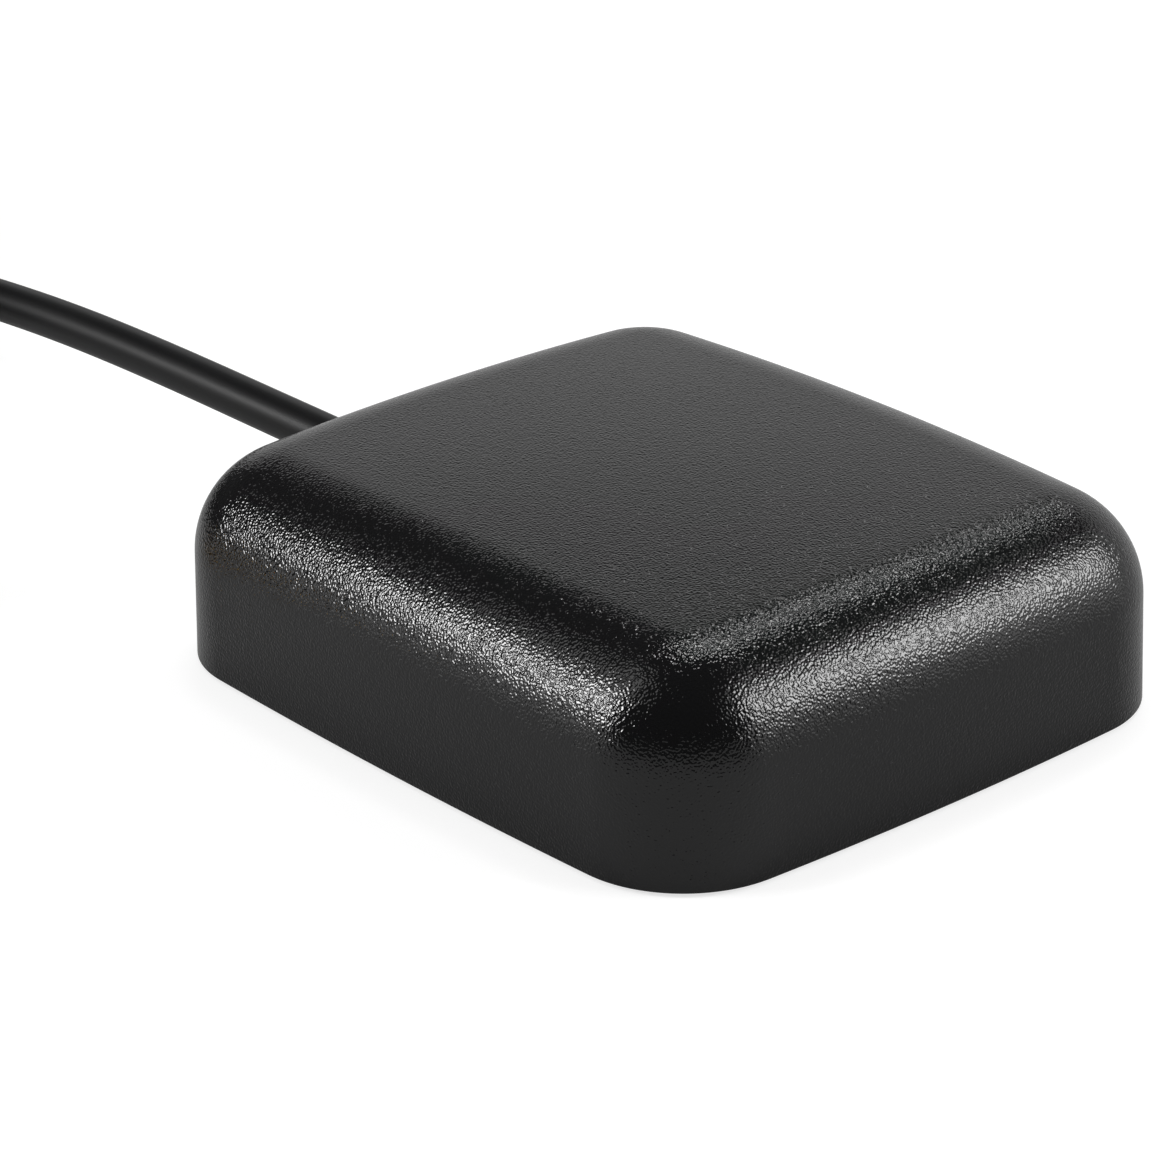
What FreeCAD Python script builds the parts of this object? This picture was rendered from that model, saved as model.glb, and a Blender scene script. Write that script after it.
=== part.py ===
"""GPS antenna: a magnetic puck with a ceramic patch aerial, its coaxial lead and a screw-on plug.

Millimetres. The origin is the middle of the puck's underside, +Z is up and the lead leaves along +Y.
"""
import FreeCAD, Part
import math
import os
import re
import Sketcher

V = FreeCAD.Vector

SIZES = {
    # Puck housing
    "body_length": 46.6,
    "body_width": 40.2,
    "body_height": 13.2,
    "corner_radius": 7.1,
    "edge_radius": 6.2,
    "draft_angle": 1.4,
    "long_side_radius": 425,
    "short_side_radius": 265,
    "dome_radius": 440,
    "wall_thickness": 1.4,
    "rim_gap": 0.2,
    "rim_lip": 0.7,
    "cut_allowance": 1.0,
    # Base, seal and screws
    "base_thickness": 1.4,
    "base_clearance": 0.1,
    "gasket_thickness": 0.4,
    "gasket_width": 1.1,
    "screw_side_inset": 6.2,
    "screw_end_inset": 6.3,
    "boss_diameter": 4.8,
    "screw_diameter": 2.0,
    "screw_length": 6.5,
    "screw_head_diameter": 3.8,
    "screw_head_height": 0.9,
    "screw_clearance": 0.1,
    "recess_width": 0.5,
    "recess_span": 2.5,
    "recess_depth": 0.6,
    # Magnet
    "magnet_side_room": 9.1,
    "magnet_end_room": 10.3,
    "magnet_thickness": 2.0,
    "magnet_chamfer": 0.5,
    "frame_clearance": 0.15,
    "frame_wall": 0.9,
    "frame_height": 1.2,
    # Board and what it carries
    "board_side_room": 4.1,
    "board_end_room": 5.8,
    "board_thickness": 0.8,
    "board_chamfer": 6.6,
    "post_inset": 1.9,
    "post_y": 6.0,
    "post_diameter": 2.2,
    "seat_gap": 0.03,
    "tape_inset": 0.5,
    "tape_thickness": 0.15,
    "patch_side_room": 7.6,
    "patch_end_room": 10.8,
    "patch_roof_room": 0.65,
    "electrode_inset": 2.0,
    "electrode_notch": 2.4,
    "electrode_thickness": 0.05,
    "feed_offset": 2.2,
    "feed_diameter": 0.9,
    "feed_head_diameter": 2.2,
    "feed_head_height": 0.2,
    "feed_clearance": 0.1,
    "feed_tail": 0.5,
    "can_width": 17.0,
    "can_lead_room": 11.5,
    "can_far_room": 7.5,
    "can_height": 2.2,
    "can_wall": 0.2,
    "can_corner_radius": 0.6,
    "chip_side": 3.0,
    "chip_height": 0.9,
    "chip_middle": 3.6,
    "filter_side": 3.0,
    "filter_height": 1.1,
    "component_length": 1.6,
    "component_width": 0.8,
    "component_height": 0.5,
    "component_spacing": 1.3,
    "component_gap": 0.9,
    # Lead
    "lead_diameter": 2.8,
    "lead_height": 5.2,
    "jacket_gap": 0.5,
    "braid_diameter": 1.9,
    "braid_length": 5.0,
    "dielectric_diameter": 1.5,
    "dielectric_length": 1.0,
    "core_diameter": 0.5,
    "solder_gap": 0.05,
    "braid_solder_setback": 0.15,
    "braid_solder_width": 0.9,
    "braid_solder_height": 0.4,
    "braid_solder_margin": 1.0,
    # Grommet
    "grommet_bore_clearance": 0.03,
    "grommet_hole_diameter": 3.9,
    "grommet_clearance": 0.05,
    "grommet_flange_diameter": 5.0,
    "grommet_flange_thickness": 0.9,
    "grommet_setback": 0.45,
    "grommet_tip_diameter": 3.8,
    "grommet_length": 5.6,
    # Stored coil of the lead and its tie
    "coil_columns": 6,
    "coil_rows": 4,
    "turn_gap": 0.05,
    "coil_inner_radius": 11.3,
    "coil_middle_x": -10.0,
    "coil_middle_y": 104.5,
    "coil_corner_cut": 1.2,
    "tie_thickness": 0.5,
    "tie_width": 4.0,
    "tie_clearance": 0.25,
    "tie_angle": 115,
    # Screw-on plug
    "plug_x": -32.6,
    "plug_y": 44.0,
    "nut_across_flats": 8.0,
    "nut_front": 2.9,
    "nut_length": 7.9,
    "nut_chamfer": 0.35,
    "nut_face_inset": 0.09,
    "nut_chamfer_angle": 30,
    "thread_minor_diameter": 5.6,
    "thread_depth": 4.2,
    "nut_clearance": 0.1,
    "shell_diameter": 4.56,
    "shell_bore_diameter": 3.98,
    "shell_length": 5.2,
    "collar_diameter": 5.24,
    "ring_middle": 2.8,
    "ring_thickness": 0.5,
    "ring_outer_diameter": 5.9,
    "ring_groove_diameter": 4.7,
    "ring_clearance": 0.1,
    "ring_gap_angle": 40,
    "seal_front": 0.5,
    "seal_thickness": 0.7,
    "neck_diameter": 6.2,
    "neck_length": 3.4,
    "stem_diameter": 2.3,
    "stem_bore_diameter": 1.6,
    "stem_length": 4.7,
    "insulator_clearance": 0.03,
    "pin_diameter": 1.27,
    "pin_tip_diameter": 0.92,
    "pin_point_diameter": 0.37,
    "pin_reach": 2.0,
    "pin_taper": 0.35,
    "pin_tail": 2.2,
    "ferrule_wall": 0.45,
    "ferrule_length": 6.4,
    "sleeve_wall": 0.45,
    "sleeve_length": 9.5,
    "sleeve_overlap": 4.0,
}

document = FreeCAD.newDocument("gps_antenna")
sheet = document.addObject("Spreadsheet::Sheet", "Sizes")
for row, (size_name, size_value) in enumerate(SIZES.items(), start=1):
    sheet.set("A%d" % row, size_name)
    sheet.set("B%d" % row, str(size_value))
    sheet.setAlias("B%d" % row, size_name)
document.recompute()


def formula(text):
    """Name the sheet before each size, so that a formula is written in the sizes' own words."""
    def with_sheet(word):
        return "Sizes." + word.group() if word.group() in SIZES else word.group()
    return re.sub(r"[a-z][a-z_]*", with_sheet, text)


def value(text):
    """The number that a formula gives now."""
    return float(sheet.evalExpression(formula(text)))


# Heights that several pieces share
PLATE_TOP = "base_thickness"
GASKET_TOP = "(base_thickness + gasket_thickness)"
BOARD_BOTTOM = "(lead_height + braid_diameter / 2 + solder_gap)"
BOARD_TOP = "(%s + board_thickness)" % BOARD_BOTTOM
TAPE_TOP = "(%s + tape_thickness)" % BOARD_TOP
PATCH_TOP = "(body_height - wall_thickness - patch_roof_room)"

# Plan places and sides that follow from the housing's own
SCREW_X = "(body_width / 2 - screw_side_inset)"
SCREW_Y = "(body_length / 2 - screw_end_inset)"
MAGNET_WIDTH = "(body_width - 2 * magnet_side_room)"
MAGNET_LENGTH = "(body_length - 2 * magnet_end_room)"
BOARD_WIDTH = "(body_width - 2 * board_side_room)"
BOARD_LENGTH = "(body_length - 2 * board_end_room)"
POST_X = "(%s / 2 - post_inset)" % BOARD_WIDTH
PATCH_WIDTH = "(body_width - 2 * patch_side_room)"
PATCH_LENGTH = "(body_length - 2 * patch_end_room)"
CAN_LENGTH = "(%s - can_lead_room - can_far_room)" % BOARD_LENGTH
CAN_MIDDLE = "((can_far_room - can_lead_room) / 2)"

# The full angle of the screws' countersunk heads
HEAD_ANGLE = "2 * atan((screw_head_diameter - screw_diameter) / 2 / screw_head_height)"

# Places along the lead's axis, inside the housing
BOARD_EDGE = "(%s / 2)" % BOARD_LENGTH
JACKET_END = "(%s + jacket_gap)" % BOARD_EDGE
BRAID_END = "(%s - braid_length)" % JACKET_END
DIELECTRIC_END = "(%s - dielectric_length)" % BRAID_END

# The stored coil, whose outside the lead runs past
TURN_SPACING = "(lead_diameter + turn_gap)"
COIL_WIDTH = "((coil_columns - 1) * %s + lead_diameter)" % TURN_SPACING
COIL_HEIGHT = "((coil_rows - 1) * %s + lead_diameter)" % TURN_SPACING
COIL_IN = "(coil_inner_radius - lead_diameter / 2)"
COIL_OUT = "(%s + %s)" % (COIL_IN, COIL_WIDTH)

# Places along the plug, from its mating face back along the lead
PLUG_HEIGHT = "(nut_across_flats / 2)"
NUT_BACK = "(nut_length - nut_front)"
COLLAR_FRONT = "(seal_front + seal_thickness + seat_gap)"
NECK_END = "(shell_length + neck_length)"
STEM_END = "(%s + stem_length)" % NECK_END
FERRULE_END = "(%s + ferrule_length)" % NECK_END
FERRULE_DIAMETER = "(lead_diameter + 2 * (insulator_clearance + ferrule_wall))"


def new_body(name):
    piece = document.addObject("PartDesign::Body", name)
    piece.Label = name
    return piece


def new_sketch(piece, name, role="XY_Plane", level="0", depth="0"):
    """A sketch on one of the body's own planes, raised by level and moved by depth in the plane."""
    sketch = piece.newObject("Sketcher::SketchObject", name)
    support = next(item for item in piece.Origin.OriginFeatures if item.Role == role)
    sketch.AttachmentSupport = (support, [""])
    sketch.MapMode = "FlatFace"
    sketch.setExpression("AttachmentOffset.Base.z", formula(level))
    if depth != "0":
        sketch.setExpression("AttachmentOffset.Base.y", formula(depth))
    return sketch


def constrain(sketch, kind, *rest):
    """Add a constraint. A size in it is given last, as a formula, and stays bound to the sheet."""
    if isinstance(rest[-1], str):
        index = sketch.addConstraint(Sketcher.Constraint(kind, *rest[:-1], value(rest[-1])))
        sketch.setExpression("Constraints[%d]" % index, formula(rest[-1]))
    else:
        sketch.addConstraint(Sketcher.Constraint(kind, *rest))


# A sketch's own origin and axes, as constraints name them
ORIGIN = (-1, 1)
FLAT_AXIS = (-1,)
UPRIGHT_AXIS = (-2,)


def place_point(sketch, point, across, up):
    """Hold one point of a sketch at a distance across and up from the sketch's origin."""
    if value(across) == 0:
        constrain(sketch, "PointOnObject", *point, *UPRIGHT_AXIS)
    else:
        constrain(sketch, "DistanceX", *ORIGIN, *point, across)
    if value(up) == 0:
        constrain(sketch, "PointOnObject", *point, *FLAT_AXIS)
    else:
        constrain(sketch, "DistanceY", *ORIGIN, *point, up)


def draw_outline(sketch, corners):
    """A closed outline of straight lines through corners given as pairs of formulas."""
    points = [V(value(across), value(up), 0) for across, up in corners]
    first = sketch.GeometryCount
    count = len(points)
    for index, point in enumerate(points):
        sketch.addGeometry(Part.LineSegment(point, points[(index + 1) % count]))
    for index, (across, up) in enumerate(corners):
        constrain(sketch, "Coincident", first + (index - 1) % count, 2, first + index, 1)
        place_point(sketch, (first + index, 1), across, up)


def draw_rectangle(sketch, width, height, across="0", up="0"):
    left = "(%s) - (%s) / 2" % (across, width)
    right = "(%s) + (%s) / 2" % (across, width)
    low = "(%s) - (%s) / 2" % (up, height)
    high = "(%s) + (%s) / 2" % (up, height)
    draw_outline(sketch, [(left, low), (right, low), (right, high), (left, high)])


def draw_circle(sketch, diameter, across="0", up="0"):
    index = sketch.addGeometry(Part.Circle(V(value(across), value(up), 0), V(0, 0, 1), value(diameter) / 2))
    place_point(sketch, (index, 3), across, up)
    constrain(sketch, "Diameter", index, diameter)


def four_corners(across, up):
    """The same place in each quarter of the puck."""
    return [("%s(%s)" % (side, across), "%s(%s)" % (end, up)) for side in ("", "-") for end in ("", "-")]


def draw_puck_outline(sketch, inset):
    """The puck's plan: four gently bowed sides joined by tangent corner arcs, moved in by an inset."""
    side_x = value("body_width / 2 - long_side_radius")
    side_y = value("body_length / 2 - short_side_radius")
    corner_reach_x = value("long_side_radius - corner_radius")
    corner_reach_y = value("short_side_radius - corner_radius")
    corner_x = value("body_width / 2 - corner_radius")
    corner_y = value("body_length / 2 - corner_radius")
    for _ in range(20):
        corner_x = side_x + math.sqrt(corner_reach_x ** 2 - corner_y ** 2)
        corner_y = side_y + math.sqrt(corner_reach_y ** 2 - corner_x ** 2)
    low = math.atan2(corner_y, corner_x - side_x)
    high = math.atan2(corner_y - side_y, corner_x)
    quarter = math.pi / 2
    breaks = [-low, low, high, 2 * quarter - high, 2 * quarter - low, 2 * quarter + low,
              2 * quarter + high, 4 * quarter - high, 4 * quarter - low]
    middles = [(side_x, 0), (corner_x, corner_y), (0, side_y), (-corner_x, corner_y),
               (-side_x, 0), (-corner_x, -corner_y), (0, -side_y), (corner_x, -corner_y)]
    radii = ["long_side_radius", "corner_radius", "short_side_radius", "corner_radius"] * 2
    first = sketch.GeometryCount
    for index, (middle, radius) in enumerate(zip(middles, radii)):
        circle = Part.Circle(V(*middle, 0), V(0, 0, 1), value("%s - (%s)" % (radius, inset)))
        sketch.addGeometry(Part.ArcOfCircle(circle, breaks[index], breaks[index + 1]))
    for index, radius in enumerate(radii):
        constrain(sketch, "Tangent", first + index, 2, first + (index + 1) % 8, 1)
        constrain(sketch, "Radius", first + index, "%s - (%s)" % (radius, inset))
    place_point(sketch, (first, 3), "body_width / 2 - long_side_radius", "0")
    place_point(sketch, (first + 2, 3), "0", "body_length / 2 - short_side_radius")
    place_point(sketch, (first + 4, 3), "long_side_radius - body_width / 2", "0")
    place_point(sketch, (first + 6, 3), "0", "short_side_radius - body_length / 2")


def pad(piece, sketch, length, taper=None, downwards=False):
    feature = piece.newObject("PartDesign::Pad", sketch.Name + "_pad")
    feature.Profile = sketch
    feature.setExpression("Length", formula(length))
    if taper:
        feature.setExpression("TaperAngle", formula(taper))
    feature.Reversed = downwards
    sketch.Visibility = False
    return feature


def pocket(piece, sketch, length, upwards=False):
    """Cut a sketch's area away, downwards or upwards from its plane."""
    feature = piece.newObject("PartDesign::Pocket", sketch.Name + "_pocket")
    feature.Profile = sketch
    feature.setExpression("Length", formula(length))
    feature.Reversed = upwards
    return feature


def revolve(piece, sketch, kind="PartDesign::Revolution"):
    feature = piece.newObject(kind, sketch.Name + "_turned")
    feature.Profile = sketch
    feature.ReferenceAxis = (sketch, ["V_Axis"])
    feature.Angle = 360
    return feature


def turned_body(name, corners):
    """A body turned about its own Z axis from a half section of radius and height pairs."""
    piece = new_body(name)
    sketch = new_sketch(piece, name + "_section", "XZ_Plane")
    draw_outline(sketch, corners)
    revolve(piece, sketch)
    return piece


def boolean(kind, name, pieces):
    """A fuse, common or cut of whole pieces. A cut takes its first piece as the base."""
    feature = document.addObject(kind, name)
    feature.Label = name
    if kind == "Part::Cut":
        feature.Base, feature.Tool = pieces
    elif kind == "Part::Compound":
        feature.Links = pieces
    else:
        feature.Shapes = pieces
    return feature


def put(piece, across, along, up, turn=None):
    """Place a whole piece. A turn is an axis and an angle in degrees."""
    if turn:
        piece.Placement = FreeCAD.Placement(V(0, 0, 0), FreeCAD.Rotation(*turn))
    for axis, place in zip("xyz", (across, along, up)):
        piece.setExpression("Placement.Base." + axis, formula(place))
    return piece


def cylinder(name, diameter, height, across="0", along="0", up="0"):
    piece = document.addObject("Part::Cylinder", name)
    piece.setExpression("Radius", formula("(%s) / 2" % diameter))
    piece.setExpression("Height", formula(height))
    return put(piece, across, along, up)


# Housing
def puck_form(name, inset, floor):
    """The puck's outer form, or its hollow: drafted bowed walls, a domed top and a round top edge."""
    piece = new_body(name)
    plan = new_sketch(piece, name + "_plan", level=floor)
    draw_puck_outline(plan, "%s + (%s - rim_gap) * tan(draft_angle)" % (inset, floor))
    pad(piece, plan, "body_height - %s + cut_allowance" % floor, taper="-draft_angle")

    dome = new_sketch(piece, name + "_dome", "XZ_Plane")
    top = "(body_height - %s)" % inset
    radius = "(dome_radius - %s)" % inset
    reach = "(body_width / 2 + body_length / 2)"
    lid = "(body_height + 2 * cut_allowance)"
    middle = V(0, value("%s - %s" % (top, radius)), 0)
    start = math.acos(value(reach) / value(radius))
    arc = Part.ArcOfCircle(Part.Circle(middle, V(0, 0, 1), value(radius)), start, math.pi / 2)
    dome.addGeometry(arc)
    low = arc.StartPoint
    outer = V(low.x, value(lid), 0)
    inner = V(0, value(lid), 0)
    dome.addGeometry(Part.LineSegment(low, outer))
    dome.addGeometry(Part.LineSegment(outer, inner))
    dome.addGeometry(Part.LineSegment(inner, V(0, value(top), 0)))
    place_point(dome, (0, 3), "0", "%s - %s" % (top, radius))
    constrain(dome, "Radius", 0, radius)
    constrain(dome, "PointOnObject", 0, 2, *UPRIGHT_AXIS)
    constrain(dome, "DistanceX", *ORIGIN, 0, 1, reach)
    constrain(dome, "Coincident", 0, 1, 1, 1)
    constrain(dome, "Coincident", 1, 2, 2, 1)
    constrain(dome, "Coincident", 2, 2, 3, 1)
    constrain(dome, "Coincident", 3, 2, 0, 2)
    constrain(dome, "Vertical", 1)
    constrain(dome, "Horizontal", 2)
    place_point(dome, (2, 2), "0", lid)
    domed = revolve(piece, dome, "PartDesign::Groove")
    document.recompute()

    rim_height = value("body_height / 2")
    edges = ["Edge%d" % number for number, edge in enumerate(domed.Shape.Edges, start=1)
             if edge.BoundBox.ZMin > rim_height and edge.BoundBox.ZLength < rim_height / 2]
    rounded = piece.newObject("PartDesign::Fillet", name + "_round")
    rounded.Base = (domed, edges)
    rounded.setExpression("Radius", formula("edge_radius - %s" % inset))
    return piece


def housing_cover():
    form = puck_form("cover_form", "0", "rim_gap")
    hollow = puck_form("cover_hollow", "wall_thickness", "(rim_gap - cut_allowance)")

    pillars = []
    for number, (across, along) in enumerate(four_corners(SCREW_X, SCREW_Y), start=1):
        pillars.append(cylinder("boss_%d" % number, "boss_diameter", "body_height - (%s)" % PLATE_TOP,
                                across, along, "%s + seat_gap" % PLATE_TOP))
    for number, (across, along) in enumerate(four_corners(POST_X, "post_y"), start=1):
        pillars.append(cylinder("hold_down_%d" % number, "post_diameter", "body_height - (%s)" % BOARD_TOP,
                                across, along, "%s + seat_gap" % BOARD_TOP))
    inner_posts = boolean("Part::MultiFuse", "inner_posts", pillars)
    trimmed_posts = boolean("Part::MultiCommon", "trimmed_posts", [inner_posts, form])
    shell = boolean("Part::Cut", "cover_shell", [form, hollow])
    filled = boolean("Part::MultiFuse", "cover_with_posts", [shell, trimmed_posts])

    rebate = new_body("rim_rebate")
    plan = new_sketch(rebate, "rebate_plan", level="rim_gap - cut_allowance")
    draw_puck_outline(plan, "rim_lip")
    pad(rebate, plan, "%s - rim_gap + cut_allowance" % GASKET_TOP)
    ring_space = boolean("Part::Cut", "rebate_round_posts", [rebate, boolean(
        "Part::MultiFuse", "boss_feet", [
            cylinder("foot_%d" % number, "boss_diameter", GASKET_TOP, across, along,
                     "%s + seat_gap" % PLATE_TOP)
            for number, (across, along) in enumerate(four_corners(SCREW_X, SCREW_Y), start=1)])])

    openings = [ring_space]
    for number, (across, along) in enumerate(four_corners(SCREW_X, SCREW_Y), start=1):
        openings.append(cylinder("pilot_%d" % number, "screw_diameter + screw_clearance", "screw_length",
                                 across, along, "base_thickness"))
    lead_hole = cylinder("lead_hole", "grommet_hole_diameter", "wall_thickness + 2 * cut_allowance")
    put(lead_hole, "0", "body_length / 2 - wall_thickness - cut_allowance", "lead_height", (V(1, 0, 0), -90))
    openings.append(lead_hole)
    cuts = boolean("Part::MultiFuse", "cover_cuts", openings)
    return boolean("Part::Cut", "housing_cover", [filled, cuts])


# Base
def base_cover():
    """The plate that closes the housing, with a frame for the magnet and posts under the board."""
    piece = new_body("base_cover")
    plan = new_sketch(piece, "base_plan")
    draw_puck_outline(plan, "rim_lip + base_clearance")
    plate = pad(piece, plan, PLATE_TOP)
    document.recompute()
    edges = ["Edge%d" % number for number, edge in enumerate(plate.Shape.Edges, start=1)
             if edge.BoundBox.ZMax < value(PLATE_TOP) / 2]
    softened = piece.newObject("PartDesign::Chamfer", "base_edge")
    softened.Base = (plate, edges)
    softened.setExpression("Size", formula("rim_gap"))

    frame = new_sketch(piece, "magnet_frame", level=PLATE_TOP)
    for wall in ("0", "frame_wall"):
        draw_rectangle(frame, "%s + 2 * (frame_clearance + %s)" % (MAGNET_WIDTH, wall),
                       "%s + 2 * (frame_clearance + %s)" % (MAGNET_LENGTH, wall))
    pad(piece, frame, "frame_height")

    posts = new_sketch(piece, "board_posts", level=PLATE_TOP)
    for across, along in four_corners(POST_X, "post_y"):
        draw_circle(posts, "post_diameter", across, along)
    pad(piece, posts, "%s - %s - seat_gap" % (BOARD_BOTTOM, PLATE_TOP))

    heads = new_sketch(piece, "screw_seats")
    for across, along in four_corners(SCREW_X, SCREW_Y):
        draw_circle(heads, "screw_diameter + 2 * screw_clearance", across, along)
    document.recompute()
    seats = piece.newObject("PartDesign::Hole", "screw_seat")
    seats.Profile = heads
    seats.Reversed = True
    seats.DepthType = "ThroughAll"
    seats.HoleCutType = "Countersink"
    seats.setExpression("Diameter", formula("screw_diameter + 2 * screw_clearance"))
    seats.setExpression("HoleCutDiameter", formula("screw_head_diameter + 2 * screw_clearance"))
    seats.setExpression("HoleCutCountersinkAngle", formula(HEAD_ANGLE))
    return piece


def rim_gasket():
    piece = new_body("rim_gasket")
    plan = new_sketch(piece, "gasket_plan", level="%s + seat_gap" % PLATE_TOP)
    for inset in ("rim_lip + base_clearance", "rim_lip + base_clearance + gasket_width"):
        draw_puck_outline(plan, inset)
    pad(piece, plan, "gasket_thickness - 2 * seat_gap")
    return piece


def base_screws():
    """Four cross-recessed countersunk screws, one made and three mirrored from it."""
    screw = turned_body("screw", [
        ("0", "0"),
        ("screw_head_diameter / 2", "0"),
        ("screw_diameter / 2", "screw_head_height"),
        ("screw_diameter / 2", "screw_length - screw_diameter / 2"),
        ("0", "screw_length"),
    ])
    cross = new_sketch(screw, "cross_recess")
    arm = "recess_width / 2"
    tip = "recess_span / 2"
    draw_outline(cross, [
        (tip, "-" + arm), (tip, arm), (arm, arm), (arm, tip), ("-" + arm, tip), ("-" + arm, arm),
        ("-" + tip, arm), ("-" + tip, "-" + arm), ("-" + arm, "-" + arm), ("-" + arm, "-" + tip),
        (arm, "-" + tip), (arm, "-" + arm)])
    pocket(screw, cross, "recess_depth", upwards=True)
    put(screw, SCREW_X, SCREW_Y, "screw_clearance / 2")
    across = document.addObject("Part::Mirroring", "screw_across")
    across.Source = screw
    across.Normal = V(1, 0, 0)
    near = boolean("Part::Compound", "screws_one_end", [screw, across])
    along = document.addObject("Part::Mirroring", "screws_other_end")
    along.Source = near
    along.Normal = V(0, 1, 0)
    return boolean("Part::Compound", "base_screws", [near, along])


def base_magnet():
    piece = new_body("base_magnet")
    plan = new_sketch(piece, "magnet_plan", level="%s + seat_gap" % PLATE_TOP)
    draw_rectangle(plan, MAGNET_WIDTH, MAGNET_LENGTH)
    block = pad(piece, plan, "magnet_thickness")
    document.recompute()
    softened = piece.newObject("PartDesign::Chamfer", "magnet_edges")
    softened.Base = (block, ["Edge%d" % number for number in range(1, len(block.Shape.Edges) + 1)])
    softened.setExpression("Size", formula("magnet_chamfer"))
    return piece


# Board and what it carries
def cut_corner_outline(sketch, width, height, cut):
    """A rectangle whose four corners are cut off at 45 degrees."""
    side = "(%s) / 2" % width
    side_in = "(%s) / 2 - (%s)" % (width, cut)
    end = "(%s) / 2" % height
    end_in = "(%s) / 2 - (%s)" % (height, cut)
    draw_outline(sketch, [
        (side, "-(%s)" % end_in), (side, end_in), (side_in, end), ("-(%s)" % side_in, end),
        ("-(%s)" % side, end_in), ("-(%s)" % side, "-(%s)" % end_in),
        ("-(%s)" % side_in, "-(%s)" % end), (side_in, "-(%s)" % end)])


def circuit_board():
    piece = new_body("circuit_board")
    plan = new_sketch(piece, "board_plan", level=BOARD_BOTTOM)
    cut_corner_outline(plan, BOARD_WIDTH, BOARD_LENGTH, "board_chamfer")
    draw_circle(plan, "feed_diameter + 2 * feed_clearance", "0", "-feed_offset")
    pad(piece, plan, "board_thickness")
    return piece


def patch_tape():
    piece = new_body("patch_tape")
    plan = new_sketch(piece, "tape_plan", level=BOARD_TOP)
    draw_rectangle(plan, "%s - 2 * tape_inset" % PATCH_WIDTH, "%s - 2 * tape_inset" % PATCH_LENGTH)
    draw_circle(plan, "feed_diameter + 2 * feed_clearance", "0", "-feed_offset")
    pad(piece, plan, "tape_thickness")
    return piece


def ceramic_patch():
    """A fired ceramic block with its silver top electrode, two corners of it cut for circular waves."""
    piece = new_body("ceramic_patch")
    plan = new_sketch(piece, "patch_plan", level=TAPE_TOP)
    draw_rectangle(plan, PATCH_WIDTH, PATCH_LENGTH)
    draw_circle(plan, "feed_diameter + 2 * feed_clearance", "0", "-feed_offset")
    pad(piece, plan, "%s - %s" % (PATCH_TOP, TAPE_TOP))
    silver = new_sketch(piece, "electrode_plan", level=PATCH_TOP)
    side = "(%s / 2 - electrode_inset)" % PATCH_WIDTH
    end = "(%s / 2 - electrode_inset)" % PATCH_LENGTH
    side_cut = "(%s - electrode_notch)" % side
    end_cut = "(%s - electrode_notch)" % end
    draw_outline(silver, [
        ("-" + side, "-" + end), (side_cut, "-" + end), (side, "-" + end_cut), (side, end),
        ("-" + side_cut, end), ("-" + side, end_cut)])
    draw_circle(silver, "feed_diameter + 2 * feed_clearance", "0", "-feed_offset")
    pad(piece, silver, "electrode_thickness")
    return piece


def feed_pin():
    """The pin that joins the electrode to the amplifier: a flat head and a long shank."""
    shank = "feed_diameter / 2"
    head = "feed_head_diameter / 2"
    head_foot = "(%s + electrode_thickness + seat_gap)" % PATCH_TOP
    tip = "(%s - feed_tail)" % BOARD_BOTTOM
    piece = turned_body("feed_pin", [
        ("0", tip), (shank, tip), (shank, head_foot), (head, head_foot),
        (head, "%s + feed_head_height" % head_foot), ("0", "%s + feed_head_height" % head_foot)])
    return put(piece, "0", "-feed_offset", "0")


def shield_can():
    """A drawn tinplate can under the board, open towards the board."""
    piece = new_body("shield_can")
    plan = new_sketch(piece, "can_plan", level="%s - seat_gap" % BOARD_BOTTOM)
    draw_rectangle(plan, "can_width", CAN_LENGTH, "0", CAN_MIDDLE)
    outside = pad(piece, plan, "can_height", downwards=True)
    document.recompute()
    upright = ["Edge%d" % number for number, edge in enumerate(outside.Shape.Edges, start=1)
               if edge.BoundBox.ZLength > value("can_height") / 2]
    corners = piece.newObject("PartDesign::Fillet", "can_corners")
    corners.Base = (outside, upright)
    corners.setExpression("Radius", formula("can_corner_radius"))
    inside = new_sketch(piece, "can_inside", level="%s - seat_gap" % BOARD_BOTTOM)
    draw_rectangle(inside, "can_width - 2 * can_wall", "%s - 2 * can_wall" % CAN_LENGTH,
                   "0", CAN_MIDDLE)
    pocket(piece, inside, "can_height - can_wall")
    return piece


def under_board(name, width, length, height, across, along):
    """A chip soldered to the underside of the board."""
    piece = new_body(name)
    plan = new_sketch(piece, name + "_plan", level="%s - seat_gap" % BOARD_BOTTOM)
    draw_rectangle(plan, width, length, across, along)
    pad(piece, plan, height, downwards=True)
    return piece


def chip_components():
    """Two columns of small parts, one beyond the amplifier and one beyond the filter."""
    chips = []
    for side, neighbour in (("-", "chip_side"), ("", "filter_side")):
        column = "%s(chip_middle + %s / 2 + component_gap + component_length / 2)" % (side, neighbour)
        for step in (-1.5, -0.5, 0.5, 1.5):
            chips.append(under_board(
                "chip_%d" % (len(chips) + 1), "component_length", "component_width", "component_height",
                column, "%s + %s * component_spacing" % (CAN_MIDDLE, step)))
    return boolean("Part::Compound", "chip_components", chips)


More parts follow.
